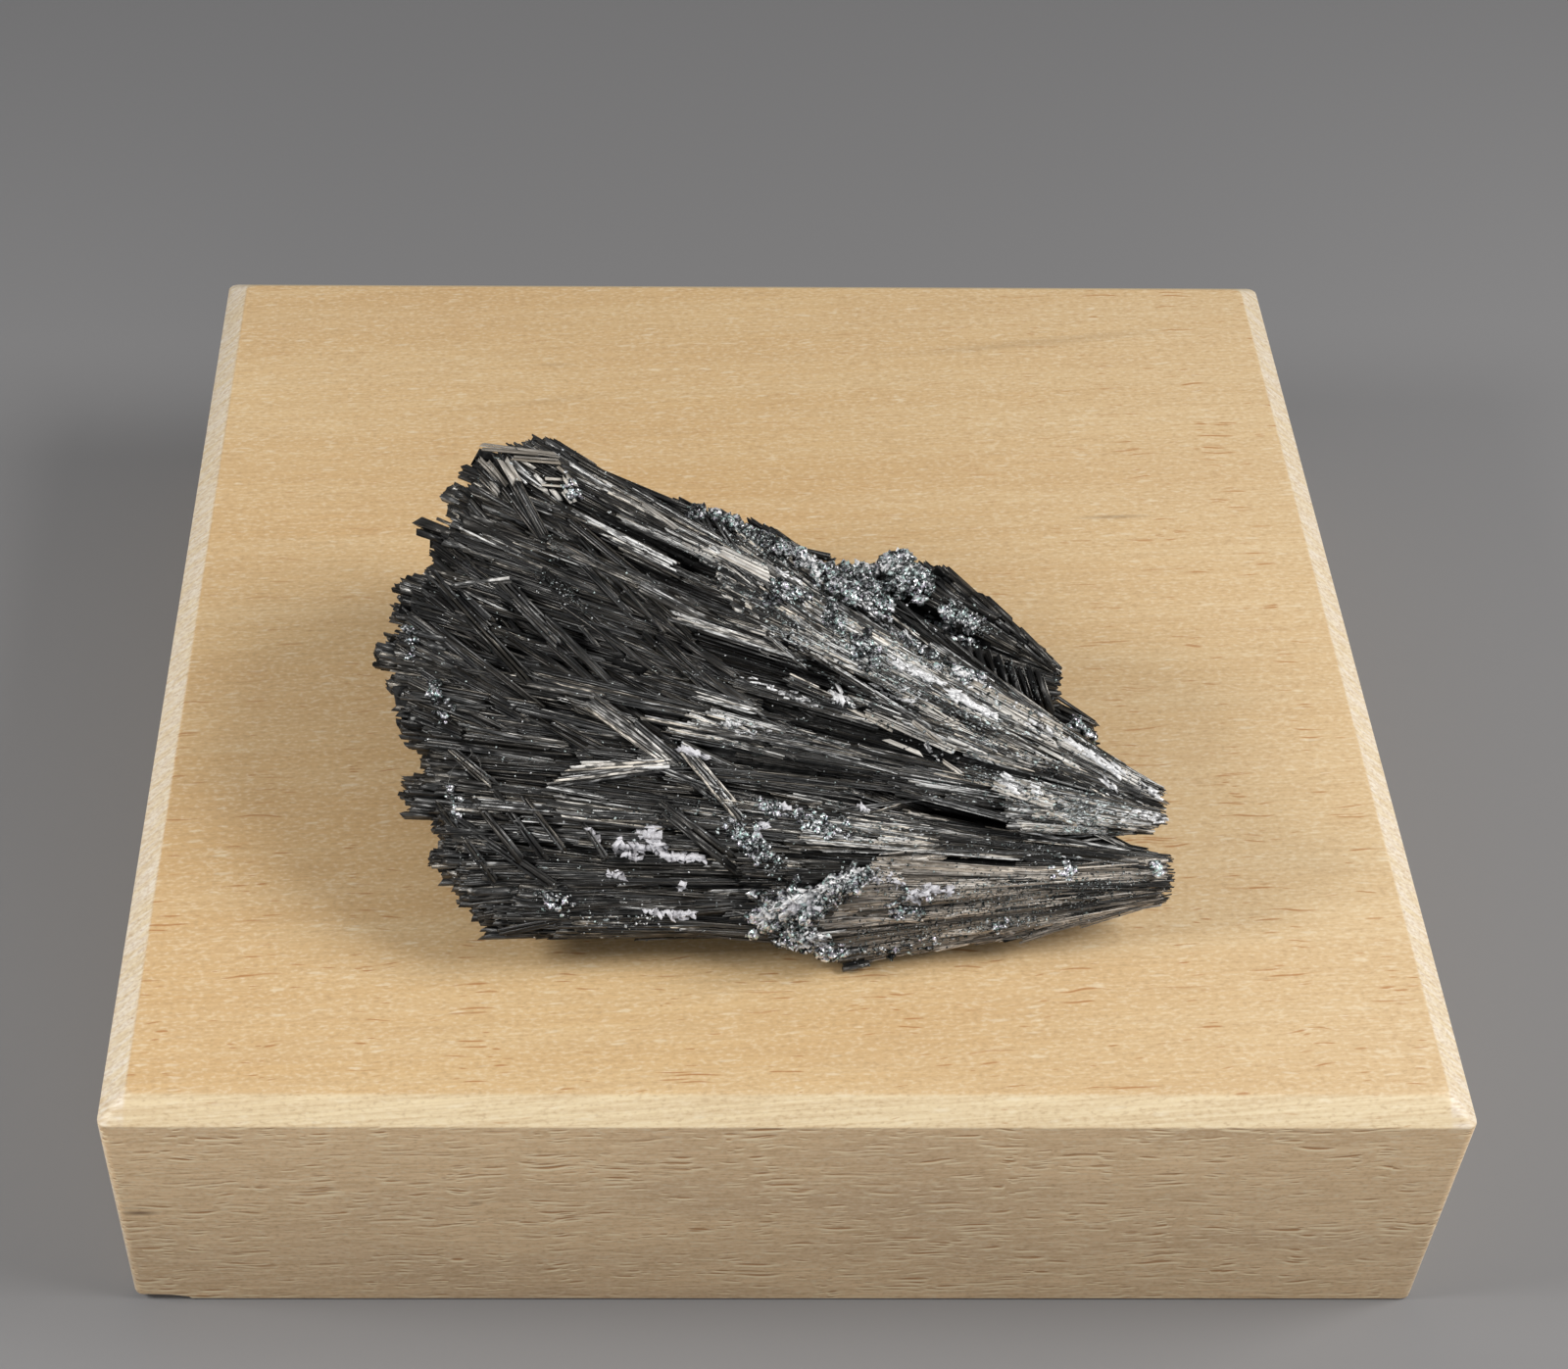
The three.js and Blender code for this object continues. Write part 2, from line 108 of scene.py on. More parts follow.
class Finish:
    # a procedural finish being mixed: its nodes, its links and its shader

    def __init__(self, name):
        self.material = bpy.data.materials.new(name)
        self.material.use_nodes = True
        self.nodes = self.material.node_tree.nodes
        self.links = self.material.node_tree.links
        self.shader = self.nodes["Principled BSDF"]

    def add(self, kind, **settings):
        node = self.nodes.new(kind)
        for name, value in settings.items():
            if name in node.inputs:
                node.inputs[name].default_value = value
            else:
                setattr(node, name, value)
        return node

    def feed(self, socket, value):
        if isinstance(value, (int, float)):
            socket.default_value = value
        elif isinstance(value, tuple):
            socket.default_value = (*value, 1)
        else:
            self.links.new(value, socket)

    def place(self):
        return self.add("ShaderNodeTexCoord").outputs["Object"]

    def toneWithPaintedLight(self):
        # the tone that each crystal carries in its mesh: its own shade, with painted glints, sheen and
        # shade in it
        return self.add("ShaderNodeAttribute", attribute_name="tone").outputs["Fac"]

    def stretched(self, place, scale, turn=(0, 0, 0), shift=(0, 0, 0)):
        # moved and turned first, then scaled along its own axes
        node = self.add("ShaderNodeMapping", vector_type="TEXTURE", Location=shift)
        node.inputs["Rotation"].default_value = turn
        node.inputs["Scale"].default_value = [1 / n for n in scale]
        self.links.new(place, node.inputs["Vector"])
        return node.outputs["Vector"]

    def noise(self, vector, detail=3.0, rough=0.55, scale=1.0):
        node = self.add("ShaderNodeTexNoise", Scale=scale, Detail=detail, Roughness=rough)
        self.links.new(vector, node.inputs["Vector"])
        return node.outputs["Fac"]

    def cells(self, vector, scale=1.0):
        # the distance to the nearest cell's middle, and that cell's own random numbers
        node = self.add("ShaderNodeTexVoronoi", Scale=scale, Randomness=1.0)
        self.links.new(vector, node.inputs["Vector"])
        own = self.add("ShaderNodeSeparateColor")
        self.links.new(node.outputs["Color"], own.inputs[0])
        return node.outputs["Distance"], own.outputs

    def spread(self, value, low, high, to=(0.0, 1.0)):
        node = self.add("ShaderNodeMapRange")
        for socket, number in zip(node.inputs[1:5], (low, high, *to)):
            socket.default_value = number
        self.links.new(value, node.inputs["Value"])
        return node.outputs["Result"]

    def maths(self, kind, a, b):
        node = self.add("ShaderNodeMath", operation=kind)
        self.feed(node.inputs[0], a)
        self.feed(node.inputs[1], b)
        return node.outputs["Value"]

    def times(self, a, b):
        return self.maths("MULTIPLY", a, b)

    def most(self, a, b):
        return self.maths("MAXIMUM", a, b)

    def mixed(self, share, a, b, kind="MIX"):
        node = self.add("ShaderNodeMix", data_type="RGBA", blend_type=kind)
        for socket, value in zip((node.inputs[0], node.inputs[6], node.inputs[7]), (share, a, b)):
            self.feed(socket, value)
        return node.outputs[2]

    def ramp(self, value, stops):
        node = self.add("ShaderNodeValToRGB")
        elements = node.color_ramp.elements
        while len(elements) < len(stops):
            elements.new(0.5)
        for element, (place, colour) in zip(elements, stops):
            element.position = place
            element.color = (*colour, 1)
        self.links.new(value, node.inputs["Fac"])
        return node.outputs["Color"]

    def finish(self, colour, rough, height=None, depth=0.0001, strength=0.5):
        # colour and roughness maps in, and a relief from the height map
        self.links.new(colour, self.shader.inputs["Base Color"])
        self.links.new(rough, self.shader.inputs["Roughness"])
        if height is not None:
            bump = self.add("ShaderNodeBump", Strength=strength, Distance=depth)
            self.links.new(height, bump.inputs["Height"])
            self.links.new(bump.outputs["Normal"], self.shader.inputs["Normal"])
        return self.material


# camera, lamps and floor

cameraView = {
    "place": (-10.146, -125.818, 139.723),
    "pitch": 46.64,  # degrees down
    "yaw": 0.87,
    "roll": 0.77,
    "lens": 62.3,
    "shift": (0.0957, 0.048),
}

turn = (Matrix.Rotation(math.radians(-cameraView["yaw"]), 4, "Z")
        @ Matrix.Rotation(math.radians(90 - cameraView["pitch"]), 4, "X")
        @ Matrix.Rotation(math.radians(cameraView["roll"]), 4, "Z"))
bpy.ops.object.camera_add()
camera = bpy.context.object
camera.name = "camera"
camera.matrix_world = Matrix.Translation(Vector(cameraView["place"]) * mm) @ turn
camera.data.lens = cameraView["lens"]
camera.data.shift_x, camera.data.shift_y = cameraView["shift"]
camera.data.clip_start = 0.005
bpy.context.scene.camera = camera

lamps = {
    "right": {"place": (190, -35, 190), "size": 140, "watts": 0.545, "colour": (1.0, 0.98, 0.95)},
    "left": {"place": (-163, -46, 132), "size": 60, "watts": 0.213, "colour": (1.0, 0.98, 0.95)},
    "front": {"place": (0, -230, 70), "size": 120, "watts": 0.085, "colour": (0.98, 0.99, 1.0)},
    "back": {"place": (-90, 260, 90), "size": 160, "watts": 0.03, "colour": (0.98, 0.99, 1.0)},
}

for name, lamp in lamps.items():
    bpy.ops.object.light_add(type="AREA", location=Vector(lamp["place"]) * mm)
    light = bpy.context.object
    light.name = "lamp_" + name
    light.data.shape = "DISK"
    light.data.size = lamp["size"] * mm
    light.data.energy = lamp["watts"]
    light.data.color = lamp["colour"]
    aim = Vector((-5, -10, blockTop)) * mm - light.location
    light.rotation_euler = aim.to_track_quat("-Z", "Y").to_euler()

world = bpy.data.worlds.new("studio")
world.use_nodes = True
world.node_tree.nodes["Background"].inputs["Color"].default_value = (0.93, 0.96, 1.0, 1)
world.node_tree.nodes["Background"].inputs["Strength"].default_value = 0.195
bpy.context.scene.world = world
bpy.context.scene.view_settings.view_transform = "Standard"

selectOnly()
bpy.ops.mesh.primitive_plane_add(size=3.2, location=(0, 0.3, -0.0001))
floor = bpy.context.object
floor.name = "floor"
floorFinish = Finish("floor_paint")
floorFinish.shader.inputs["Base Color"].default_value = (0.235, 0.233, 0.238, 1)
floorFinish.shader.inputs["Roughness"].default_value = 0.85
floor.data.materials.append(floorFinish.material)
print("camera, lamps and floor placed")


# the wooden block

block = {
    "cornerRadius": 0.6,
    "chamferWidth": 1.6,
    "chamferDrop": 1.1,
    "arris": 0.08,  # the slight rounding of every sawn edge
    "chip": {"place": (-37.2, -38.1, 0), "size": (2.6, 1.3, 0.45)},
    "grainTurn": (0, -1.5, 3.5),  # degrees
    "marks": [  # brown marks: middle from the block's foot, half sizes, slope, strength
        ((20.0, 30.0, 18.4), (13, 0.7, 4), 8.5, 0.22),
        ((-16.0, 23.0, 18.4), (9, 0.55, 4), 10.0, 0.16),
        ((24.0, 11.3, 18.4), (3.2, 0.28, 3), 3.0, 0.4),
        ((-13.9, 27.4, 18.4), (1.6, 0.35, 3), 0.0, 0.3),
        ((-36.7, -38.1, 9.0), (1.3, 2, 0.28), 0.0, 0.8),
        ((-36.7, -38.1, 9.5), (1.6, 2, 0.1), 0.0, 0.6),
        ((-17.5, -38.1, 10.0), (0.5, 2, 0.3), 0.0, 0.6),
        ((-18.4, -38.1, 7.9), (1.1, 2, 0.14), 0.0, 0.6),
    ],
}


def woodFinish():
    wood = Finish("pale_wood")
    spread, mixed, times, most = wood.spread, wood.mixed, wood.times, wood.most
    place = wood.place()
    tilt = [math.radians(n) for n in block["grainTurn"]]

    def grain(scale, detail=3.0, rough=0.55):
        return wood.noise(wood.stretched(place, scale, tilt), detail, rough)

    # the grain wanders a little
    wander = wood.add("ShaderNodeTexNoise", Scale=260.0, Detail=1.0)
    wood.links.new(place, wander.inputs["Vector"])
    sway = wood.add("ShaderNodeVectorMath", operation="SCALE", Scale=0.0011)
    wood.links.new(wander.outputs["Color"], sway.inputs[0])
    swayed = wood.add("ShaderNodeVectorMath", operation="ADD")
    wood.links.new(place, swayed.inputs[0])
    wood.links.new(sway.outputs["Vector"], swayed.inputs[1])

    def pores(scale, size, keep, shift=0.0):
        # long cells: some of them hold an open pore, each of its own length
        stretched = wood.stretched(swayed.outputs["Vector"], scale, tilt, (0, 0, -shift * mm))
        far, own = wood.cells(stretched)
        far = wood.maths("DIVIDE", far, spread(own[1], 0, 1, (0.45, 1.5)))
        return times(spread(far, size, size * 0.55), spread(own[0], keep, keep + 0.08))

    # height picks the sawn sides, the chamfer and the top, which has yellowed most
    split = wood.add("ShaderNodeSeparateXYZ")
    wood.links.new(place, split.inputs[0])
    x, y, height = split.outputs
    isTop = spread(height, (blockTop - 0.12) * mm, (blockTop - 0.02) * mm)
    isSide = spread(height, (blockTop - 1.05) * mm, (blockTop - 1.25) * mm)
    endways = wood.maths("ABSOLUTE", x, 0.0)
    nearEnd = spread(endways, blockHigh.x - 1.6 * mm, blockHigh.x - 1.4 * mm)
    atEnd = spread(endways, blockHigh.x - 0.35 * mm, blockHigh.x - 0.1 * mm)
    isEnd = most(times(nearEnd, spread(isSide, 0, 1, (1, 0))), atEnd)

    broad = grain((8, 60, 60), detail=4.0)
    cloud = grain((45, 160, 160))
    streak = grain((16, 620, 620), rough=0.6)
    fibre = grain((120, 5600, 5600), detail=2.0)
    grit = grain((2600, 5200, 5200), detail=1.0)
    endLines = wood.noise(wood.stretched(place, (500, 3400, 420), (math.radians(-28), 0, 0)), 2.0)

    tone = mixed(spread(broad, 0.34, 0.66), (0.65, 0.42, 0.195), (0.74, 0.52, 0.27))
    tone = mixed(spread(streak, 0.4, 0.7, (0, 0.45)), tone, (0.79, 0.6, 0.35))
    tone = mixed(spread(cloud, 0.42, 0.72, (0, 0.4)), tone, (0.66, 0.43, 0.21))
    # painted light: paler towards the right end, where the right lamp falls strongest
    tone = mixed(spread(x, 0, 0.036, (0, 0.4)), tone, (0.74, 0.58, 0.37))
    tone = mixed(isTop, mixed(0.7, tone, (0.87, 0.745, 0.5)), tone)
    greyer = mixed(0.7, tone, (0.93, 0.63, 0.36))
    greyer = mixed(spread(cloud, 0.4, 0.66, (0, 0.5)), greyer, (0.58, 0.41, 0.26))
    tone = mixed(isSide, tone, greyer)
    endShare = times(isEnd, spread(endLines, 0.36, 0.6, (0.15, 0.95)))
    tone = mixed(endShare, tone, (0.9, 0.81, 0.68))
    fibreShare = times(spread(fibre, 0.35, 0.65, (0, 0.34)), spread(isTop, 0, 1, (1.3, 0.9)))
    tone = mixed(fibreShare, tone, (0.52, 0.34, 0.17))
    tone = mixed(spread(grit, 0.52, 0.72, (0, 0.34)), tone, (0.9, 0.78, 0.57))
    tone = mixed(spread(grit, 0.44, 0.26, (0, 0.34)), tone, (0.42, 0.26, 0.13))

    for middle, size, slope, strength in block["marks"]:
        spot = wood.add("ShaderNodeMapping", vector_type="TEXTURE")
        spot.inputs["Location"].default_value = [n * mm for n in middle]
        spot.inputs["Rotation"].default_value = (0, 0, math.radians(slope))
        spot.inputs["Scale"].default_value = [n * mm for n in size]
        wood.links.new(place, spot.inputs["Vector"])
        far = wood.add("ShaderNodeVectorMath", operation="LENGTH")
        wood.links.new(spot.outputs["Vector"], far.inputs[0])
        near = times(spread(far.outputs["Value"], 1, 0.2), strength)
        near = times(near, spread(streak, 0.3, 0.6, (0.4, 1)))
        tone = mixed(near, tone, (0.2, 0.12, 0.065))

    # open pores, each with a pale lip on its lower side, a painted highlight where the edge faces the
    # lamps
    onSide = times(spread(grain((150, 420, 420)), 0.36, 0.52, (0.25, 1)), isSide)
    sidePits = most(pores((230, 2700, 2700), 0.25, 0.14),
                    times(pores((520, 4200, 4200), 0.3, 0.45), 0.8))
    sidePits = times(times(sidePits, onSide), 0.85)
    sideLipHighlights = most(pores((230, 2700, 2700), 0.34, 0.14, shift=0.13),
                    pores((520, 4200, 4200), 0.38, 0.45, shift=0.1))
    flecks = times(pores((520, 2600, 2600), 0.25, 0.6), spread(isSide, 0, 1, (0.36, 0)))
    tone = mixed(flecks, tone, (0.9, 0.8, 0.6))
    tone = mixed(times(sideLipHighlights, onSide), tone, (1, 0.82, 0.54))

    # the top has more of them towards the front and the right
    nearFront = most(spread(y, 0.02, -0.02, (0.3, 1)), spread(x, 0.004, 0.03))
    small = pores((640, 5200, 5200), 0.27, 0.88)
    topPits = most(pores((170, 4200, 4200), 0.27, 0.66), times(small, 0.8))
    topPits = times(times(topPits, nearFront), times(isTop, 0.8))
    onChamfer = wood.maths("SUBTRACT", 1, most(isTop, isSide))
    chamferPits = times(times(small, onChamfer), 0.45)
    pits = most(most(topPits, sidePits), chamferPits)
    tone = mixed(pits, tone, (0.45, 0.2, 0.062))

    rough = spread(fibre, 0.3, 0.7, (0.46, 0.62))
    relief = wood.maths("SUBTRACT", times(fibre, 0.3), sidePits)
    return wood.finish(tone, rough, relief, depth=0.00012)


def makeBlock():
    side = (blockHigh.x - blockLow.x) / mm
    sideHeight = blockTop - block["chamferDrop"]
    selectOnly()
    bpy.ops.mesh.primitive_cube_add(size=1, location=(0, 0, sideHeight / 2 * mm),
                                    scale=(side * mm, side * mm, sideHeight * mm))
    wood = bpy.context.object
    wood.name = "wooden_block"
    bpy.ops.object.transform_apply(location=True, rotation=True, scale=True)

    bpy.ops.object.mode_set(mode="EDIT")
    bpy.ops.mesh.select_mode(type="EDGE")
    bpy.ops.mesh.select_all(action="DESELECT")
    bpy.ops.object.mode_set(mode="OBJECT")
    for edge in wood.data.edges:  # the four upright corners
        a, b = (wood.data.vertices[i].co for i in edge.vertices)
        edge.select = abs(a.z - b.z) > sideHeight / 2 * mm
    bpy.ops.object.mode_set(mode="EDIT")
    bpy.ops.mesh.bevel(offset=block["cornerRadius"] * mm, segments=4, affect="EDGES")
    bpy.ops.mesh.select_all(action="DESELECT")
    bpy.ops.object.mode_set(mode="OBJECT")
    for face in wood.data.polygons:  # the top
        face.select = face.normal.z > 0.9
    bpy.ops.object.mode_set(mode="EDIT")
    bpy.ops.mesh.select_mode(type="FACE")
    bpy.ops.mesh.extrude_region_move(
        TRANSFORM_OT_translate={"value": (0, 0, block["chamferDrop"] * mm)})
    narrower = 1 - 2 * block["chamferWidth"] / side
    bpy.ops.transform.resize(value=(narrower, narrower, 1))
    bpy.ops.object.mode_set(mode="OBJECT")

    # a splinter is missing from the lower front corner
    chip = block["chip"]
    selectOnly()
    bpy.ops.mesh.primitive_ico_sphere_add(subdivisions=2, radius=mm,
                                          location=Vector(chip["place"]) * mm, scale=chip["size"])
    cutter = bpy.context.object
    selectOnly(wood)
    cut = wood.modifiers.new("chip", "BOOLEAN")
    cut.object = cutter
    cut.solver = "EXACT"
    bpy.ops.object.modifier_apply(modifier="chip")
    bpy.data.objects.remove(cutter)

    soften = wood.modifiers.new("arris", "BEVEL")
    soften.width = block["arris"] * mm
    soften.segments = 2
    soften.limit_method = "ANGLE"
    soften.angle_limit = math.radians(25)
    bpy.ops.object.modifier_apply(modifier="arris")
    bpy.ops.object.shade_smooth_by_angle(angle=math.radians(32))
    wood.data.materials.append(woodFinish())
    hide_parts("display_block")
    settle(wood)


makeBlock()
print("block made")


# the sheaves of crystals, which radiate from a small root to a broad end

upperSheaf = {
    "centre": (21.2, -22.2, 7.6), "spread": (1.1, 1.2), "open": (-0.27, 0.38),
    "rim": [(-14.8, -1.4, 17), (-17.2, -3, 16.4), (-19, -5.8, 15.2), (-20.4, -9.6, 14.1),
            (-21.8, -13.4, 12.8), (-21.6, -16.8, 11.4), (-20.4, -19, 9.8), (-19.2, -18.6, 6),
            (-19, -13, 2.6), (-17.4, -8, 0.1), (-15.2, -1.6, 0.1), (-13.4, 2.2, 4.6),
            (-12.8, 2.4, 11.6)],
}
ridgeSheaf = {
    "centre": (20.2, -21.6, 8.1), "spread": (1, 0.8), "open": (-0.2, 0.46),
    "rim": [(-2.8, -4.8, 14), (-4.2, -7.4, 14.8), (-3.4, -10.8, 14.4), (-0.8, -13.6, 13.4),
            (1, -14.2, 11.4), (1.2, -9, 10.2), (0.8, -5.4, 10.4), (-0.4, -4.4, 12.2)],
}
tipSheaf = {
    "centre": (20.8, -22.8, 7), "spread": (0.5, 0.6), "open": (-0.1, 0.5),
    "rim": [(12, -21.6, 9.4), (12.4, -23, 8.5), (13.2, -23.5, 7.1), (13.6, -22.4, 6.4),
            (13.2, -21, 7.4)],
}
lowerSheaf = {
    "centre": (21.8, -24.4, 4.4), "spread": (0.7, 1.3), "open": (-0.08, 0.46),
    "rim": [(-20, -19, 9.8), (-19.6, -21.4, 9), (-19, -23.6, 7.7), (-18.4, -25.2, 6.3),
            (-17.2, -26.8, 5), (-16, -27.4, 3.6), (-15.8, -25.6, 2.6), (-17.4, -19, 2),
            (-18.6, -15, 5), (-19.2, -15.4, 8.6)],
}
frontKeel = {
    "centre": (8, -25.6, 1.6), "spread": (0.8, 0.9), "open": (-0.05, 0.55),
    "rim": [(-15, -26.8, 5.4), (-15.4, -27.6, 4.4), (-15.2, -27.6, 3.6), (-14.8, -26.8, 2.4),
            (-14.6, -24.6, 2.2), (-14.8, -24.6, 4.8)],
}
frontWedge = {
    "centre": (21.6, -24.8, 3.8), "spread": (0.6, 1.1), "open": (-0.1, 0.48),
    "rim": [(3.2, -26.4, 6.8), (0.6, -27.6, 5.8), (-0.4, -28, 3.6), (1.6, -28, 1.2),
            (3.6, -27.8, 0.1), (4.2, -23.8, 0.6), (4.4, -23.8, 5.2)],
}
rearSheaf = {
    "centre": (16.5, -12.1, 7.1), "spread": (1.1, 1.3), "open": (-0.42, 0.36),
    "rim": [(10.2, -6.9, 11.4), (6.8, -7, 11.8), (4.6, -7.2, 10.4), (3.8, -10.6, 9.6),
            (6, -13, 7), (7, -11, 1.6), (7.6, -6, 0.1), (9, -3.6, 2),
            (9.4, -3.6, 7.6)],
}
rearLobe = {
    "centre": (19.2, -12.6, 3), "spread": (1.2, 1.2), "open": (-0.4, 0.3),
    "rim": [(9, -8.6, 7), (8.4, -12.6, 6.6), (9, -14.6, 3.6), (9.4, -12.6, 0.5),
            (9, -7.4, 0.1), (9, -5.2, 3.4)],
}
cleftWeb = {
    "centre": (18.2, -22.8, 4.4), "spread": (0.8, 0.7), "open": (-0.1, 0.45),
    "rim": [(1, -15, 8.6), (1, -20, 7), (1.4, -23.6, 5.2), (1.4, -23, 2.4),
            (1, -16, 1.6)],
}

# where the crystals are coarse and bright, in their own paler tone and in painted sheen: middle, reach
# and strength
silverSheenPatches = [
    ((-1, -8.4, 14.4), 4, 0.6), ((2, -13, 13.6), 5, 0.8), ((6, -15.4, 12.2), 5, 1),
    ((11, -18.4, 10.6), 5, 1), ((16, -20.2, 9.2), 5, 1), ((11, -22, 9), 3.6, 0.8),
    ((17, -22.8, 8), 4, 0.9), ((-4, -8.4, 14.6), 4, 0.45), ((-15.5, -4, 16.8), 1.7, 0.7),
    ((5, -17.6, 11.4), 3, 0.8), ((-9, -6.8, 15), 3, 0.25), ((-1.6, -13, 13.4), 4, 0.35),
    ((2, -22.8, 7.8), 3, 0.45), ((6, -23.6, 7.2), 4, 0.4), ((-3, -19, 10.4), 3.5, 0.4),
    ((1, -19, 10.4), 3, 0.35),
]

# gaps between the crystals, darkened with painted shade: line and half width
hollows = [
    ([(-4.1, -14.1, 12.3), (-2.4, -14.9, 11.8), (-0.5, -16, 11.5)], 0.32),
    ([(-8.8, -17.6, 11), (-5.9, -18.1, 10.8)], 0.3),
    ([(-0.5, -17.5, 11), (3.3, -18.4, 10.6)], 0.34),
    ([(-2.8, -20.1, 9.6), (0, -20.7, 9.3), (3.3, -21, 9.1)], 0.32),
    ([(-13.4, -12.7, 13), (-12, -13.8, 12.3)], 0.3),
    ([(-13.3, -17.3, 11), (-10.8, -18.9, 10.9)], 0.35),
    ([(-11.4, -5.7, 15.5), (-9.8, -6.4, 15.2), (-8.1, -7.1, 15)], 0.3),
    ([(-5.8, -8.6, 14.1), (-3, -10.1, 14.1)], 0.34),
    ([(-12.4, -10.6, 13.5), (-9.3, -11.9, 13)], 0.2),
    ([(-10.7, -7.4, 15.2), (-9.4, -7.4, 14.5)], 0.22),
    ([(4, -11.2, 12.6), (5.8, -12.2, 12.2)], 0.3),
    ([(2.7, -15.6, 12.3), (5.5, -16.7, 11.7)], 0.34),
    ([(-5.5, -10.2, 13.3), (-4.2, -10.9, 13)], 0.22),
    ([(-15.3, -7.3, 14.7), (-14.2, -8.2, 14.2)], 0.3),
    ([(-17.2, -12.4, 12.8), (-15.1, -14.6, 12.2)], 0.32),
    ([(-13.9, -10.7, 13.7), (-12.2, -13.4, 12.5)], 0.3),
    ([(-20.7, -20.1, 9.7), (-19.4, -21.4, 9.3)], 0.3),
    ([(-18, -24, 7.2), (-16.2, -25.2, 6.2)], 0.45),
    ([(-13.3, -24.3, 6.9), (-11.1, -24.4, 6.7), (-8.9, -24.6, 6.4)], 0.2),
    ([(5.5, -19.7, 10.2), (8.3, -20.3, 9.8), (11.1, -20.7, 9.4)], 0.18),
    ([(11.1, -20.6, 9.5), (14.4, -21.3, 9.3), (17.2, -22.1, 8.8)], 0.2),
    ([(2.6, -20.6, 8.4), (5.7, -20.9, 7.3), (9.1, -21.4, 6.6), (12.5, -22, 6.2)], 0.3),
    ([(17.3, -23, 7.7), (20.4, -23.6, 6.8)], 0.22),
    ([(5.6, -25.4, 7), (8.8, -24.9, 6), (11.9, -24.8, 5.7)], 0.3),
    ([(9.4, -8.8, 9.6), (9.6, -9.6, 9.2)], 0.75),
    ([(-15.6, -21.7, 9), (-11.1, -21.7, 8.5)], 0.16),
    ([(-5.6, -25.9, 5), (-1.2, -26, 5.6)], 0.22),
    ([(1, -24.5, 6.4), (4.2, -25.6, 6.6)], 0.22),
    ([(-18.7, -7.2, 14.8), (-16.9, -8.6, 14.2)], 0.22),
    ([(-3.3, -14, 12.2), (0.1, -15.3, 11.9), (4.8, -16.9, 11.4)], 0.42),
    ([(-0.8, -17.5, 11), (2.2, -18.2, 10.7), (5.2, -19.2, 10.2)], 0.42),
    ([(4.1, -11.1, 12.6), (5.9, -12.1, 12.1), (7.8, -13.1, 11.7)], 0.3),
]


def closedCurve(corners, count, steps=24):
    # a smooth closed line through the corners, as evenly spaced points
    corners = np.array(corners, float)
    stretches = []
    for i in range(len(corners)):
        p0, p1, p2, p3 = (corners[(i + k) % len(corners)] for k in (-1, 0, 1, 2))
        d1, d2, d3 = (np.linalg.norm(b - a) ** 0.5 for a, b in ((p0, p1), (p1, p2), (p2, p3)))
        t = np.linspace(0, d2, steps, endpoint=False)[:, None]
        a1 = p0 + (p1 - p0) * (t + d1) / d1
        a2 = p1 + (p2 - p1) * t / d2
        a3 = p2 + (p3 - p2) * (t - d2) / d3
        b1 = a1 + (a2 - a1) * (t + d1) / (d1 + d2)
        b2 = a2 + (a3 - a2) * t / (d2 + d3)
        stretches.append(b1 + (b2 - b1) * t / d2)
    line = np.concatenate(stretches)
    line = np.vstack([line, line[:1]])
    run = runOf(line)
    return pointsOn(line, run, np.linspace(0, run[-1], count, endpoint=False))


def sheafRays(sheaf, turns):
    # rays from root to rim: turns go once round the rim from its first corner
    count = 720
    table = closedCurve(sheaf["rim"], count)
    middle = np.mean(sheaf["rim"], axis=0)
    step = (np.asarray(turns) % 1) * count
    low = np.floor(step).astype(int)
    part = (step - low)[:, None]
    rim = table[low % count] * (1 - part) + table[(low + 1) % count] * part
    tangent = table[(low + 4) % count] - table[(low - 3) % count]
    bearing = np.arctan2(rim[:, 2] - middle[2], rim[:, 1] - middle[1])
    root = np.array(sheaf["centre"]) + np.stack([
        0 * bearing,
        sheaf["spread"][0] * np.cos(bearing),
        sheaf["spread"][1] * np.sin(bearing)], axis=1)
    along = unit(rim - root)
    side = squared(tangent, along)
    out = np.cross(side, along)
    out *= np.where(np.sum(out * (rim - middle), axis=1) < 0, -1, 1)[:, None]
    return rim, root, along, side, out


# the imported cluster, which every crystal below is laid on
cluster = frame["nodes"]["zinkenite_cluster"]
clusterTree = BVHTree.FromPolygons([v.co for v in cluster.data.vertices],
                                   [p.vertices for p in cluster.data.polygons])
liftToWorld = np.array([0, 0, blockTop])


def surfaceLift(points, outward, reach=3.0, tree=None):
    # how far out along its own way the surface lies from each point, or nan
    lifts = np.full(len(points), np.nan)
    for i, (point, way) in enumerate(zip(points + liftToWorld, outward)):
        start = Vector((point + way * reach) * mm)
        hit = (tree or clusterTree).ray_cast(start, Vector(-way), 2 * reach * mm)
        if hit[0] is not None:
            lifts[i] = reach - hit[3] / mm
    return lifts


def nearness(points, patches):
    best = np.zeros(len(points))
    for middle, reach, strength in patches:
        far = np.linalg.norm(points - np.array(middle), axis=1) / reach
        near = np.clip(1 - far, 0, 1)
        best = np.maximum(best, strength * near * near * (3 - 2 * near) * 1.6)
    return np.clip(best, 0, 1)


def farFromLine(points, line):
    best = np.full(len(points), 1e9)
    for a, b in zip(line[:-1], line[1:]):
        a, b = np.array(a), np.array(b)
        part = np.clip((points - a) @ (b - a) / ((b - a) @ (b - a)), 0, 1)[:, None]
        best = np.minimum(best, np.linalg.norm(points - a - (b - a) * part, axis=1))
    return best


def overHollow(start, end, margin):
    over = np.zeros(len(start), bool)
    for line, width in hollows:
        for part in (0.0, 0.2, 0.4, 0.6, 0.8, 1.0):
            over |= farFromLine(start + (end - start) * part, line) < width + margin
    return over


# the crystals' finishes

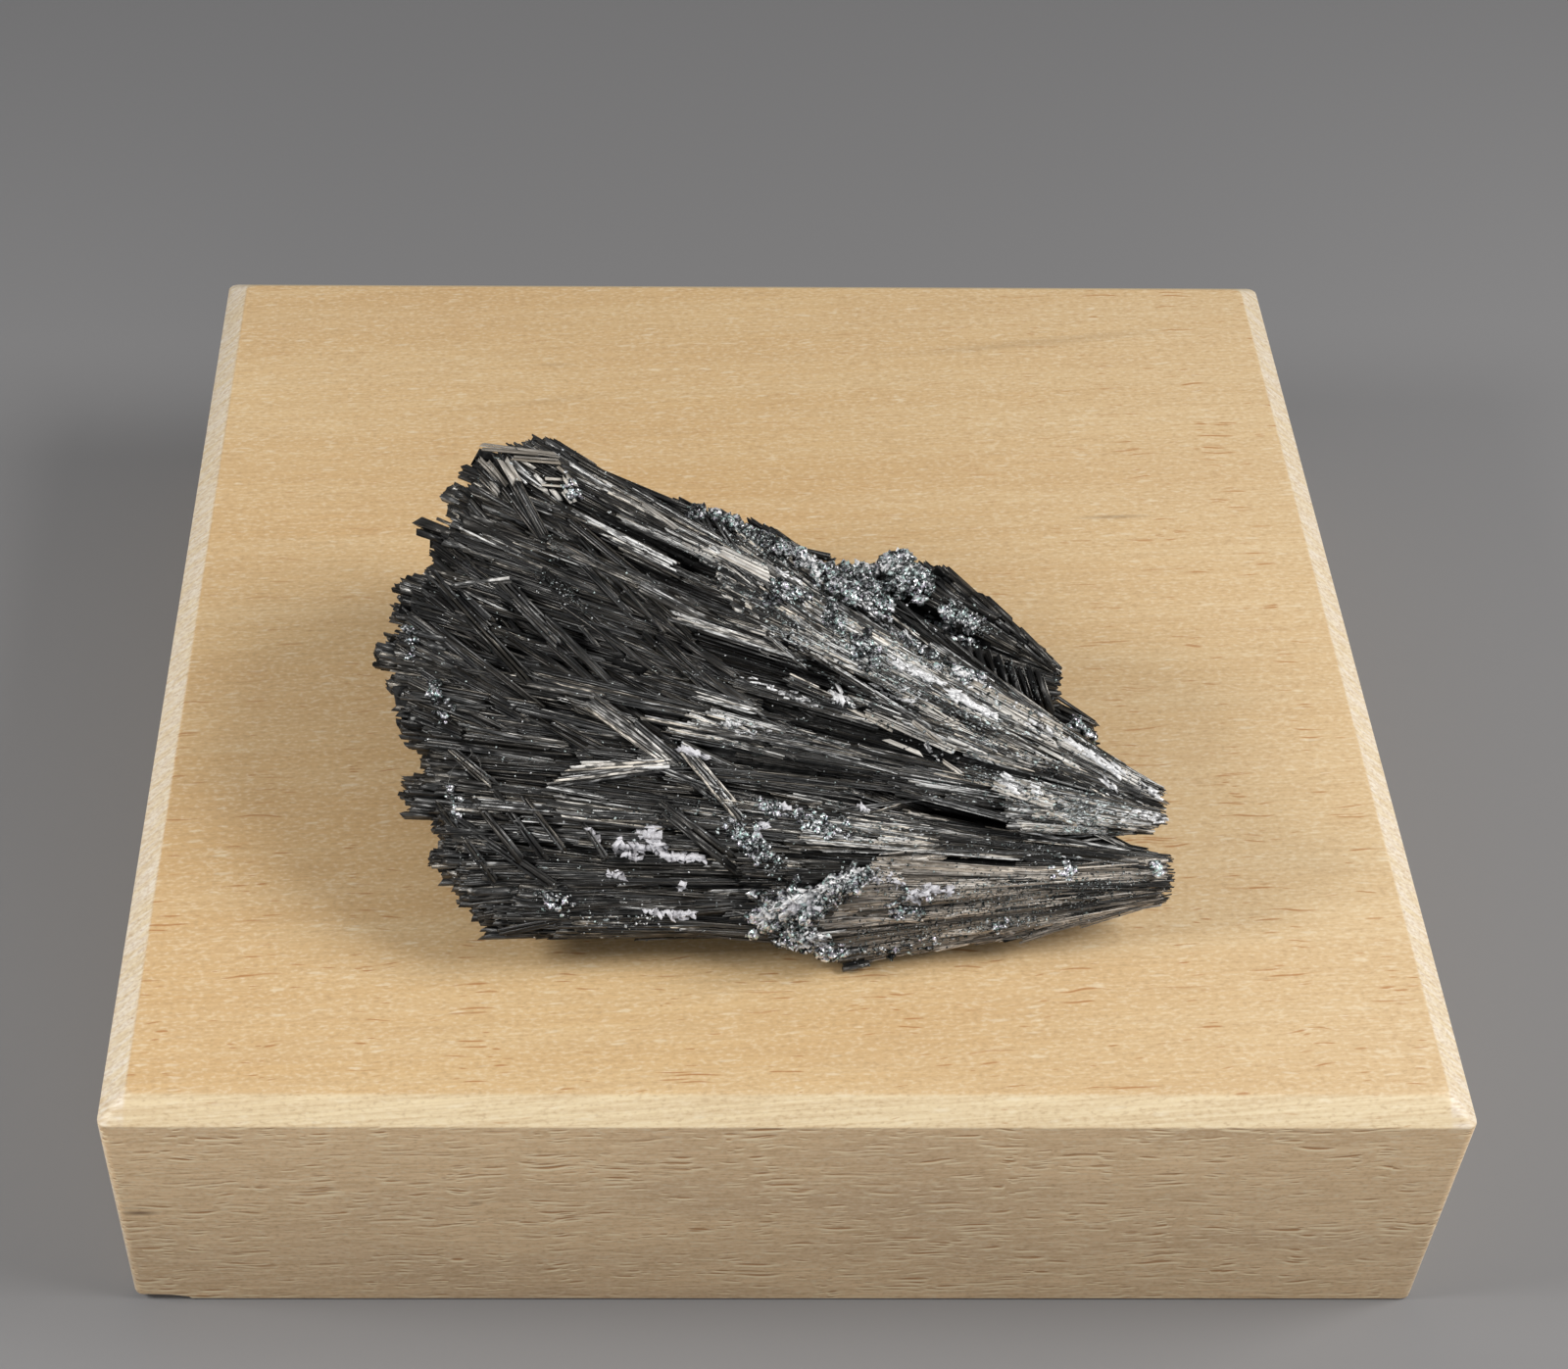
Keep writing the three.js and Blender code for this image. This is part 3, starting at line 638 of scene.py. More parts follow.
def metalFinish(name, dark, middle, bright, warm, gloss, streaks, metallic, paintedGlintBreak=0.45):
    # steel-grey metal: each crystal's tone comes with its mesh, painted glints and shade included, and
    # fine striations run along it
    metal = Finish(name)
    uv = metal.add("ShaderNodeUVMap", uv_map="grain").outputs["UV"]
    lines = metal.noise(metal.stretched(uv, (14, 0.35, 1)), 3.0, 0.7)
    own = metal.noise(metal.stretched(uv, (0.06, 0.04, 1)), 1.0, 0.5)
    # painted highlights: a noise along each crystal breaks its bright tone into short stretches
    broken = metal.noise(metal.stretched(uv, (2.5, 1.0, 1)), 2.0, 0.6)
    broken = metal.spread(broken, 0.42, 0.62, (1 - paintedGlintBreak, 1 + paintedGlintBreak))
    both = metal.times(metal.toneWithPaintedLight(), broken)
    both = metal.maths("ADD", both, metal.spread(lines, 0.3, 0.7, (-streaks, streaks)))
    both = metal.spread(both, 0.0, 1.0)
    cool = metal.ramp(both, [(0.0, dark), (0.5, middle), (1.0, bright)])
    champagne = metal.mixed(1.0, cool, warm, "MULTIPLY")
    colour = metal.mixed(metal.spread(own, 0.46, 0.62), cool, champagne)
    # the brightest tones lose their metal and show pale whatever the light, as painted highlights
    share = metal.spread(both, 0.4, 0.9, (metallic, 0.1))
    metal.links.new(share, metal.shader.inputs["Metallic"])
    rough = metal.spread(lines, 0.3, 0.7, gloss)
    return metal.finish(colour, rough, lines, depth=0.00004, strength=0.6)


needleMetal = metalFinish(
    "needle_metal", dark=(0.017, 0.017, 0.0175), middle=(0.17, 0.17, 0.168),
    bright=(0.92, 0.92, 0.91), warm=(1.0, 0.91, 0.79), gloss=(0.24, 0.44), streaks=0.12,
    metallic=0.66)
wedgeMetal = metalFinish(
    "wedge_metal", dark=(0.05, 0.046, 0.041), middle=(0.36, 0.325, 0.285),
    bright=(0.80, 0.76, 0.71), warm=(1.0, 0.93, 0.84), gloss=(0.42, 0.62), streaks=0.12,
    metallic=0.3)
plateMetal = metalFinish(
    "plate_metal", dark=(0.05, 0.047, 0.043), middle=(0.36, 0.33, 0.29),
    bright=(0.90, 0.88, 0.84), warm=(1.0, 0.95, 0.88), gloss=(0.3, 0.5), streaks=0.14,
    metallic=0.3, paintedGlintBreak=0.12)
druseMetal = metalFinish(
    "druse_metal", dark=(0.03, 0.031, 0.032), middle=(0.26, 0.27, 0.275),
    bright=(0.95, 0.96, 0.98), warm=(0.85, 1.0, 0.96), gloss=(0.14, 0.30), streaks=0.04,
    metallic=0.55, paintedGlintBreak=0.1)


def crustMetal():
    # crumbs of dark and bright facets, far smaller than the lumps that carry them: the bright ones are
    # painted glints
    metal = Finish("druse_crust_metal")
    place = metal.place()
    facet = metal.cells(place, 7200.0)[1]
    coarse = metal.noise(place, 2.0, 0.6, scale=1900.0)
    mix = metal.maths("ADD", facet[0], metal.spread(coarse, 0.3, 0.7, (-0.35, 0.3)))
    mix = metal.maths("ADD", mix, metal.spread(metal.toneWithPaintedLight(), 0, 1, (-0.35, 0.7)))
    bright = metal.ramp(mix, [(0.2, (0.022, 0.023, 0.024)), (0.5, (0.1, 0.104, 0.107)),
                              (0.75, (0.36, 0.37, 0.38)), (0.93, (0.93, 0.94, 0.97))])
    teal, lilac = metal.spread(facet[1], 0.7, 0.8), metal.spread(facet[2], 0.75, 0.85)
    tinted = metal.mixed(teal, bright, (0.76, 1.0, 0.92), "MULTIPLY")
    tinted = metal.mixed(lilac, tinted, (0.97, 0.88, 1.0), "MULTIPLY")
    metal.shader.inputs["Metallic"].default_value = 0.5
    rough = metal.spread(facet[1], 0, 1, (0.16, 0.42))
    return metal.finish(tinted, rough, facet[0], depth=0.00005, strength=0.9)


def speckledFinish(name, scale, rough, stops, gloss, metallic, tones=None):
    # dark and pale speckles, which the tone of each flake lifts or lowers
    coat = Finish(name)
    speckle = coat.noise(coat.place(), 3.0, rough, scale=scale)
    shade = speckle
    if tones:
        shade = coat.maths("ADD", speckle, coat.spread(coat.toneWithPaintedLight(), 0, 1, tones))
    coat.shader.inputs["Metallic"].default_value = metallic
    rough = coat.spread(speckle, 0.3, 0.7, gloss)
    return coat.finish(coat.ramp(shade, stops), rough, speckle, depth=0.00005)


def meshPiece(name, corners, faces, uv, tone, material):
    # one joined mesh from arrays, in millimetres above the block
    mesh = bpy.data.meshes.new(name)
    mesh.vertices.add(len(corners))
    mesh.vertices.foreach_set("co", ((corners + liftToWorld) * mm).astype(np.float32).ravel())
    mesh.loops.add(faces.size)
    mesh.loops.foreach_set("vertex_index", faces.astype(np.int32).ravel())
    mesh.polygons.add(len(faces))
    starts = np.arange(0, faces.size, faces.shape[1], dtype=np.int32)
    mesh.polygons.foreach_set("loop_start", starts)
    mesh.update(calc_edges=True)
    layer = mesh.uv_layers.new(name="grain")
    layer.data.foreach_set("uv", uv.astype(np.float32).ravel())
    shade = mesh.attributes.new("tone", "FLOAT", "POINT")
    shade.data.foreach_set("value", tone.astype(np.float32))
    mesh.validate()
    mesh.materials.append(material)
    piece = bpy.data.objects.new(name, mesh)
    bpy.context.scene.collection.objects.link(piece)
    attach(piece, "root")
    return piece


barShape = {"start": (0.5, 0.95), "end": (0.7, 1.0), "uvSpan": 900}  # shares of the full width


def needleArrays(crystals, rng):
    # each crystal is a bar of four long sides, with a slanted end and a narrower start
    start, end, side = crystals["start"], crystals["end"], crystals["side"]
    width, height, tone = crystals["width"], crystals["height"], crystals["tone"]
    count = len(start)
    along = unit(end - start)
    side = squared(side, along)
    up = np.cross(along, side)
    corners = np.empty((count, 8, 3))
    slantS, slantU = crystals["slant"].T
    taper = rng.uniform(*barShape["start"], count)
    point = rng.uniform(*barShape["end"], count)
    for ring, (base, scale) in enumerate(((start, taper), (end, point))):
        for k, (s, u) in enumerate(((-0.5, -0.5), (0.5, -0.5), (0.5, 0.5), (-0.5, 0.5))):
            slant = (s * slantS * width + u * slantU * height) * (1 if ring else -1)
            corners[:, ring * 4 + k] = (base
                                        + side * (s * width * scale)[:, None]
                                        + up * (u * height * scale)[:, None]
                                        + along * slant[:, None])
    faces = np.array([(0, 1, 5, 4), (1, 2, 6, 5), (2, 3, 7, 6), (3, 0, 4, 7),
                      (3, 2, 1, 0), (4, 5, 6, 7)])
    quads = (np.arange(count) * 8)[:, None, None] + faces
    length = np.linalg.norm(end - start, axis=1)
    offset = rng.uniform(0, barShape["uvSpan"], (count, 2))
    uv = np.zeros((count, 6, 4, 2))
    for face in range(4):
        across = width if face % 2 == 0 else height
        uv[:, face, :, 0] = np.stack([0 * across, across, across, 0 * across], axis=1) + face
        uv[:, face, :, 1] = np.stack([0 * length, 0 * length, length, length], axis=1)
    for face in (4, 5):
        uv[:, face, :, 0] = np.stack([0 * width, width, width, 0 * width], axis=1) + face
        uv[:, face, :, 1] = np.stack([0 * width, 0 * width, height, height], axis=1)
    uv += offset[:, None, None, :]
    return corners.reshape(-1, 3), quads.reshape(-1, 4), uv, np.repeat(tone, 8)


dressed = []  # corners and faces of the crystals and lumps, for what is laid on them later


def needlePiece(name, batches, rng, material=needleMetal):
    crystals = {key: np.concatenate([batch[key] for batch in batches]) for key in batches[0]}
    corners, quads, uv, tone = needleArrays(crystals, rng)
    meshPiece(name, corners, quads, uv, tone, material)
    dressed.append((corners, quads))
    print(name, "has", len(crystals["start"]), "crystals")


needleShape = {  # how the needles of one bundle differ
    "widthVary": (0.75, 1.25),
    "heightVary": (0.8, 1.5),  # of the width
    "arch": 0.35,  # the outer needles lie lower than the middle ones
    "uneven": 0.03,
    "lean": 0.7,  # slant of the bundle's broken end
    "cut": 0.6,  # how far that slant shortens the needles
    "endSlant": (0.8, 0.25),  # each needle's own end: share of the bundle's, and variation
    "startSpread": 0.8,  # of the spread at the ends
    # painted glints: the rare bright needles, and the lit needles of a bright patch
    "rarity": 6,  # a higher power leaves fewer bright needles
    "sparkle": 0.65,
    "narrowing": 0.35,  # of the brightest needles
    "lit": (0.6, 0.4),  # how much the bundle and the needle decide
    "litFrom": 0.6,  # needles of a bright patch are lit above this, and dim below it
    "bright": (0.5, 1.1),
    "dim": 0.08,
}
usualLook = {  # what holds where a look names nothing else
    "tilt": 0.3, "gap": (0.85, 1.15), "roll": 0.4, "stagger": 0.3, "vary": (0.35, 1.1),
    "spark": 2.3, "thin": 1.0, "shares": (0.08, 1.0), "rimShare": 0.1, "past": 0.3,
    "skew": (0, 0), "relief": 0.3, "proudShare": 0.05, "lowest": 0.0,
}


def splitBundles(start, end, side, out, look, tone, rng, squeeze=1.0, glitter=0.0):
    # each bundle becomes a few needles side by side, which end almost together
    shape, look = needleShape, {**usualLook, **look}
    count = len(start)
    size = rng.integers(look["needles"][0], look["needles"][1] + 1, count)
    which = np.repeat(np.arange(count), size)
    place = np.concatenate([np.arange(n) - (n - 1) / 2 for n in size])
    every = len(which)
    width = rng.uniform(*look["width"], count)[which]
    width = width * rng.uniform(*shape["widthVary"], every) * np.broadcast_to(squeeze, count)[which]
    ray = unit(end - start)[which]
    tilt = rng.normal(0, look["tilt"], count)[:, None]
    side = (side * np.cos(tilt) + out * np.sin(tilt))[which]
    gap = rng.uniform(*look["gap"], count)[which]
    shift = side * (place * width * gap)[:, None]
    roll = rng.normal(0, look["roll"], every)[:, None]
    arch = -0.5 * (place / np.maximum(size[which], 2)) ** 2 * width * size[which] * shape["arch"]
    lift = out[which] * (arch + rng.normal(0, shape["uneven"], every))[:, None]
    stagger = rng.uniform(-1, 1, (2, every)) * look["stagger"]
    lean = rng.normal(0, shape["lean"], (count, 2))[which]
    cut = (lean[:, 0] * place * width)[:, None] * ray * shape["cut"]

    # tone: most needles are dull, a few carry a painted glint, and a bright patch is painted part lit,
    # part dark
    spark = rng.uniform(0, 1, every) ** shape["rarity"]
    glitter = np.broadcast_to(glitter, count)[which]
    tone = tone[which] * (rng.uniform(*look["vary"], every)
                          + look["spark"] * (shape["sparkle"] + glitter) * spark)
    byBundle, byNeedle = shape["lit"]
    lit = byBundle * rng.uniform(0, 1, count)[which] + byNeedle * rng.uniform(0, 1, every)
    bright = rng.uniform(*shape["bright"], every)
    tone = tone + glitter * np.where(lit > shape["litFrom"], bright, shape["dim"])
    width = width * (1 - shape["narrowing"] * spark)
    share, vary = shape["endSlant"]
    return {
        "start": start[which] + shift * shape["startSpread"] + ray * stagger[0][:, None] + lift,
        "end": end[which] + shift + ray * stagger[1][:, None] + cut + lift,
        "side": side * np.cos(roll) + out[which] * np.sin(roll),
        "width": width,
        "height": width * rng.uniform(*shape["heightVary"], every) * look["thin"],
        "tone": np.clip(tone, 0, 1),
        "slant": lean * share + rng.normal(0, vary, (every, 2)),
    }


strands = 84  # round each sheaf


def bandAt(sheaf, turns):
    # 0 to 1: strands of a sheaf lie higher and brighter, or lower and darker, in painted sheen and
    #         painted shade
    if "bands" not in sheaf:
        sheaf["bands"] = np.random.default_rng(len(sheaf["rim"])).uniform(0, 1, strands)
    at = (np.asarray(turns) % 1) * strands
    return np.interp(at, np.arange(strands + 1), np.append(sheaf["bands"], sheaf["bands"][0]))


bundleRules = {
    "farthest": 2.6,  # the two ends' distances from the solid, added up
    "sag": 0.45,  # how far the solid may lie below the line between the ends
    "poke": 1.2,  # and above it
    "felt": (0, 0.33, 0.67, 1),  # where along a bundle the solid is felt
    "ends": (0.01, 0.975),  # the shares of a ray between which it is felt
    "rimBack": -0.8,
    "startLift": 0.6,  # of the lift at the end
    "middleBand": 0.6,  # strands above it lie higher
    "toneVary": (0.6, 1.3),
    "bandTone": (0.5, 1.1, 1.5),
    "patchTone": 0.35,
    "rootWidth": 0.5,
    "glitter": (1.5, 0.45, 0.9),
    "proud": (0.1, 0.4),
    # painted shade: the bundles left over a gap are sunk and darkened
    "sunkShare": 0.5,  # of the bundles over a dark gap, and how far and how dark they lie
    "sunkDrop": (0.3, 0.42),
    "sunkShadeTone": 0.3,
}


def growBundles(sheaf, look, rng):
    # bundles laid on the solid along the sheaf's rays, or skewed across them
    rules, look = bundleRules, {**usualLook, "open": sheaf["open"], **look}
    count = look["bundles"]
    inOpen = rng.uniform(0, 1, count) < look["openShare"]
    turns = np.where(inOpen, rng.uniform(*look["open"], count), rng.uniform(0, 1, count))
    rim, root, _, side, out = sheafRays(sheaf, turns)
    reach = np.linalg.norm(rim - root, axis=1)
    length = rng.uniform(*look["length"], count)
    low, high = look["shares"]
    toShare = np.sqrt(rng.uniform(low ** 2, high ** 2, count))
    atRim = rng.uniform(0, 1, count) < look["rimShare"]
    past = rng.uniform(rules["rimBack"], look["past"], count)
    toShare = np.where(atRim, 1 + past / reach, toShare)
    fromShare = np.maximum(toShare - length / reach, 0.0)
    skew = rng.uniform(*look["skew"], count) * (toShare - fromShare)
    backRim, backRoot, _, _, backOut = sheafRays(sheaf, turns + skew)

    def pointAt(part):
        share = fromShare + (toShare - fromShare) * part
        share = np.clip(share, *rules["ends"])[:, None]
        ahead = root + (rim - root) * share
        behind = backRoot + (backRim - backRoot) * share
        return behind + (ahead - behind) * part, unit(backOut + (out - backOut) * part)

    # the solid is felt at four points, and a bundle that would float or be buried is left out
    lifts = [surfaceLift(*pointAt(part)) for part in rules["felt"]]
    straight = [lifts[0] + (lifts[3] - lifts[0]) * part for part in rules["felt"][1:3]]
    sag = np.fmax(straight[0] - lifts[1], straight[1] - lifts[2])
    poke = np.fmax(lifts[1] - straight[0], lifts[2] - straight[1])
    far = np.abs(lifts[0]) + np.abs(lifts[3])
    sound = ~np.isnan(sum(lifts)) & (far < rules["farthest"])
    sound &= (sag < rules["sag"]) & (poke < rules["poke"])
    band = bandAt(sheaf, turns)
    lift = rng.uniform(*look["lift"], count) + (band - rules["middleBand"]) * look["relief"]
    proud = rng.uniform(0, 1, count) < look["proudShare"]
    lift = np.where(proud, lift + rng.uniform(*rules["proud"], count), lift)
    start = backRoot + (backRim - backRoot) * fromShare[:, None]
    start = start + backOut * (np.nan_to_num(lifts[0]) + lift * rules["startLift"])[:, None]
    end = root + (rim - root) * toShare[:, None]
    end = end + out * (np.nan_to_num(lifts[3]) + lift)[:, None]
    length = np.linalg.norm(end - start, axis=1)
    end = end + side * (rng.normal(0, look["splay"], count) * length)[:, None]
    sunk = overHollow(start, end, look["width"][1] * 0.8)
    sound &= ~sunk | (rng.uniform(0, 1, count) < rules["sunkShare"])
    drop = np.where(sunk, rng.uniform(*rules["sunkDrop"], count) + lift, 0.0)[:, None]
    start, end = start - backOut * drop, end - out * drop
    sound &= np.minimum(start[:, 2], end[:, 2]) > look["lowest"]

    keep = np.flatnonzero(sound)
    start, end, side, out, share, sunk, band = (
        rows[keep] for rows in (start, end, side, out, toShare, sunk, band))
    here = nearness((start + end) / 2, silverSheenPatches) * ~sunk
    # painted light: low strands darker as shade in the grooves, high ones brighter as sheen
    least, more, power = rules["bandTone"]
    tone = look["tone"] * rng.uniform(*rules["toneVary"], len(keep)) * (least + more * band ** power)
    # painted shade: bundles sunk in a gap are darkened
    tone = tone * np.where(sunk, rules["sunkShadeTone"], 1.0)
    # painted sheen: in the silver patches the tone rises and some needles glitter
    tone = tone + here * rng.uniform(0, 1, len(keep)) ** 2 * rules["patchTone"]
    squeeze = rules["rootWidth"] + (1 - rules["rootWidth"]) * np.clip(share, 0, 1)
    gain, least, more = rules["glitter"]
    glitter = here * gain * (least + more * band)
    return splitBundles(start, end, side, out, look, tone, rng, squeeze, glitter)


def growStubs(sheaf, look, rng):
    # blunt ends that stand out of the sheaf's broad face, in knobs
    count = look["bundles"]
    rim, root, _, side, _ = sheafRays(sheaf, rng.uniform(0, 1, count))
    middle = np.mean(sheaf["rim"], axis=0)
    inward = np.sqrt(rng.uniform(look["within"], 1, count))[:, None]
    target = middle + (rim - middle) * inward
    centre = np.array(sheaf["centre"])
    root = centre + (root - centre) * inward
    along = unit(target - root)
    side = squared(side, along)
    out = np.cross(side, along)
    lift = surfaceLift(target, along, look["probe"])
    keep = np.flatnonzero(~np.isnan(lift) & (np.abs(lift) < look["farthest"]))
    face = target[keep] + along[keep] * lift[keep][:, None]
    end = face + along[keep] * rng.uniform(*look["past"], len(keep))[:, None]
    start = face - along[keep] * rng.uniform(*look["length"], len(keep))[:, None]
    tone = look["tone"] * rng.uniform(*look["toneVary"], len(keep))
    return splitBundles(start, end, side[keep], out[keep], look, tone, rng)


# the core: the imported cluster's own form, painted near black as the shade behind the needles

coreLook = {
    "sink": 0.3,  # how far it lies inside its solid
    "foot": (2.4, -28.0, 0.4),  # the wedge's broad end, which stops short of its solid
    "footReach": 3.0,
    "footPush": (0.2, 0.7, 0.9),
    "finish": {"name": "core_shadow", "scale": 2600.0, "rough": 0.55, "metallic": 0.6,
               "stops": [(0.4, (0.005, 0.005, 0.005)), (0.7, (0.04, 0.04, 0.039))],
               "gloss": (0.5, 0.7)},
}


def makeCore():
    look = coreLook
    core = cluster.copy()
    core.data = cluster.data.copy()
    core.name = "cluster_core"
    bpy.context.scene.collection.objects.link(core)
    core.parent = None
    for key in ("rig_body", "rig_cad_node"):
        if key in core:
            del core[key]
    selectOnly(core)
    bpy.ops.object.mode_set(mode="EDIT")
    bpy.ops.mesh.select_all(action="SELECT")
    bpy.ops.mesh.remove_doubles(threshold=1e-6)
    bpy.ops.object.mode_set(mode="OBJECT")
    x, y, z = look["foot"]
    foot = Vector((x, y, blockTop + z))
    for vertex in core.data.vertices:
        if vertex.normal.z > -0.2:  # not the underside
            vertex.co -= vertex.normal * look["sink"] * mm
        far = (vertex.co / mm - foot).length / look["footReach"]
        if far < 1:
            vertex.co += Vector(look["footPush"]) * mm * min(1, 2 * (1 - far))
    core.data.materials.clear()
    core.data.materials.append(speckledFinish(**look["finish"]))
    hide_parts("zinkenite_cluster")
    settle(core)


makeCore()


# the needles and laths

fineLook = {"bundles": 1500, "openShare": 0.7, "length": (4, 14), "needles": (4, 8),
            "width": (0.09, 0.15), "lift": (-0.14, 0.10), "splay": 0.015, "tone": 0.215,
            "stagger": 0.4, "past": 0.1, "relief": 0.45}
lathLook = {"bundles": 950, "openShare": 0.8, "length": (1.5, 8), "needles": (3, 6),
            "width": (0.09, 0.18), "lift": (-0.05, 0.30), "splay": 0.05, "tone": 0.3,
            "skew": (0, 0.12), "past": 0.3, "relief": 0.4}
skewLook = {"bundles": 330, "openShare": 1.0, "open": (0.02, 0.35), "shares": (0.5, 1.0),
            "length": (2, 8), "needles": (3, 6), "width": (0.10, 0.19), "lift": (0.0, 0.38),
            "splay": 0.04, "tone": 0.2, "skew": (0.2, 0.5), "past": 0.2, "rimShare": 0.3,
            "stagger": 0.2}
stubLook = {"bundles": 420, "length": (1.2, 3.0), "needles": (2, 4), "width": (0.20, 0.38),
            "past": (-0.3, 0.35), "stagger": 0.15, "tone": 0.24, "tilt": 1.2,
            "toneVary": (0.2, 1.8),
            "probe": 4.0, "farthest": 3.5}  # how far out the broad face is looked for and found
wedgeLook = {"bundles": 1700, "openShare": 0.75, "length": (1.5, 8), "needles": (4, 9),
             "width": (0.06, 0.11), "lift": (-0.03, 0.08), "splay": 0.02, "tone": 0.67,
             "stagger": 0.15, "rimShare": 0.0, "shares": (0.05, 0.93), "roll": 0.25,
             "proudShare": 0.0, "vary": (0.7, 1.2), "spark": 0.6, "relief": 0.12,
             "lowest": 1.0}
rearLook = {"bundles": 520, "openShare": 0.7, "length": (2, 8), "needles": (2, 4),
            "width": (0.2, 0.36), "lift": (-0.1, 0.2), "splay": 0.03, "tone": 0.2,
            "stagger": 0.3, "past": 0.1}

needleRows = [  # piece, finish, and each batch's sheaf and look
    ("upper_fan_needles", needleMetal, [(upperSheaf, fineLook)]),
    ("upper_fan_laths", needleMetal, [(upperSheaf, lathLook), (upperSheaf, skewLook)]),
    ("ridge_laths", needleMetal, [(ridgeSheaf, dict(fineLook, bundles=600)),
                                  (ridgeSheaf, dict(lathLook, bundles=480)),
                                  (tipSheaf, dict(lathLook, bundles=260))]),
    ("lower_fan_needles", needleMetal, [(lowerSheaf, dict(fineLook, bundles=900)),
                                        (frontKeel, dict(fineLook, bundles=260)),
                                        (cleftWeb, dict(fineLook, bundles=200))]),
    ("lower_fan_laths", needleMetal, [(lowerSheaf, dict(lathLook, bundles=700, skew=(-0.05, 0.1))),
                                      (frontKeel, dict(lathLook, bundles=150)),
                                      (cleftWeb, dict(lathLook, bundles=100))]),
    ("front_wedge_needles", wedgeMetal, [(frontWedge, wedgeLook)]),
    ("rear_cluster_laths", needleMetal, [(rearSheaf, rearLook),
                                         (rearLobe, dict(rearLook, bundles=300))]),
]
rng = np.random.default_rng(4107)
for name, metal, batches in needleRows:
    needlePiece(name, [growBundles(sheaf, look, rng) for sheaf, look in batches], rng, metal)

stubRows = [  # sheaf, bundles, and how far out from its middle the ends begin
    (upperSheaf, 1300, 0), (upperSheaf, 280, 0.8), (lowerSheaf, 800, 0),
    (lowerSheaf, 180, 0.8), (rearSheaf, 420, 0), (rearLobe, 160, 0),
    (frontWedge, 90, 0), (frontKeel, 130, 0), (ridgeSheaf, 160, 0),
]
stubs = [growStubs(sheaf, dict(stubLook, bundles=count, within=within), rng)
         for sheaf, count, within in stubRows]
needlePiece("broad_end_stubs", stubs, rng)
print("needles grown")


def dressedTree():
    # everything laid so far, as one surface to lay more on
    corners, faces, first = [], [], 0
    for points, polygons in dressed:
        corners.extend(((points + liftToWorld) * mm).tolist())
        faces.extend((polygons + first).tolist())
        first += len(points)
    return BVHTree.FromPolygons(corners, faces)


needleTree = dressedTree()


# single laths that lie across the fans

crossLook = {"lift": 0.2, "tilt": 0.1, "stagger": 0.18, "gap": (1.1, 1.25), "roll": 0.25,
             "vary": (0.6, 1.15), "spark": 0.8}
crossRows = [  # start, end, width, rods, tone
    ((-11.2, -17.8, 11.3), (-3.5, -22, 7.8), 0.95, 6, 0.6),
    ((-10.9, -17.4, 11.5), (-7.6, -19.3, 10.1), 0.5, 3, 0.34),
    ((-8.6, -18.9, 11), (-4.2, -21.4, 8.3), 0.5, 3, 0.5),
    ((-5.7, -20.1, 10), (-2.6, -22.9, 7.6), 0.7, 4, 0.6),
    ((-6.9, -22.7, 7.9), (-2.9, -25, 5.8), 1, 4, 0.2),
    ((-7.2, -22.2, 8), (-5, -23.5, 7), 0.5, 3, 0.26),
    ((-19.6, -10.9, 13.8), (-14.4, -16.3, 11.4), 0.7, 3, 0.26),
    ((-16.4, -10.5, 13.8), (-12.8, -14.7, 12.9), 0.6, 3, 0.3),
    ((-19, -10.7, 13.7), (-15.8, -10.3, 13.8), 0.4, 2, 0.5),
    ((-15.8, -10.4, 13.9), (-13, -13.6, 12.9), 0.4, 2, 0.34),
    ((-13.2, -21.6, 8.7), (-7.2, -20.9, 9.3), 0.34, 2, 0.6),
    ((-12.9, -21.3, 8.8), (-7, -20.8, 9.3), 0.3, 2, 0.75),
    ((-12.7, -21.1, 9), (-7, -20.7, 9.3), 0.17, 1, 0.5),
    ((-12.2, -20.8, 9.1), (-6.8, -20.6, 9.4), 0.3, 2, 0.85),
    ((-11.5, -20.4, 9.1), (-6.6, -20.5, 9.4), 0.3, 2, 0.7),
    ((-8.6, -20.7, 9.3), (-6.7, -20.6, 9.4), 0.5, 3, 0.95),
    ((-19.6, -22.4, 7.9), (-16.3, -26.2, 5.4), 0.6, 3, 0.2),
    ((-18.6, -23.2, 7.6), (-13.2, -26.2, 5.4), 0.6, 3, 0.24),
    ((-17.6, -22.2, 8), (-14.9, -25.1, 6.2), 0.4, 2, 0.2),
    ((-16.4, -21.9, 8.2), (-13.6, -25, 6.1), 0.4, 2, 0.22),
    ((-14.8, -22.2, 8.2), (-12.6, -24.6, 6.6), 0.35, 2, 0.2),
    ((-18.9, -19.9, 9.7), (-16.6, -21.7, 8.7), 0.6, 4, 0.42),
    ((-12.6, -21.9, 8.2), (-10.2, -24.9, 6.3), 0.35, 2, 0.26),
    # dark plates that stand on the ridge
    ((-4.6, -5.2, 14.9), (-3.6, -7.6, 14.2), 0.5, 2, 0.2),
    ((-3.9, -5.4, 14.9), (-2.6, -7.8, 14), 0.5, 2, 0.26),
]
# upright dark columns below the pit, with thin pale rods on their arrises as painted highlights
pipeLook = {"lift": 0.16, "tilt": 0.1, "stagger": 0.2, "roll": 0.2, "vary": (0.6, 1.3), "spark": 0,
            "feel": 2}
pipeRows = []
for column in range(11):
    x, y, z = 9.3 + 0.6 * column, -10.2 - 0.2 * column, 9.7 - 0.13 * column
    pipeRows.append(((x, y, z), (x + 0.75, y - 1.9, z - 1.5), 0.4, 1, 0.07))
    pipeRows.append(((x + 0.22, y, z + 0.16), (x + 0.97, y - 1.9, z - 1.34), 0.09, 1, 0.55))


laidRules = {"outward": (0.0, -0.5, 0.86), "from": 0.05, "to": 0.95, "spots": 5, "probe": 2.0}


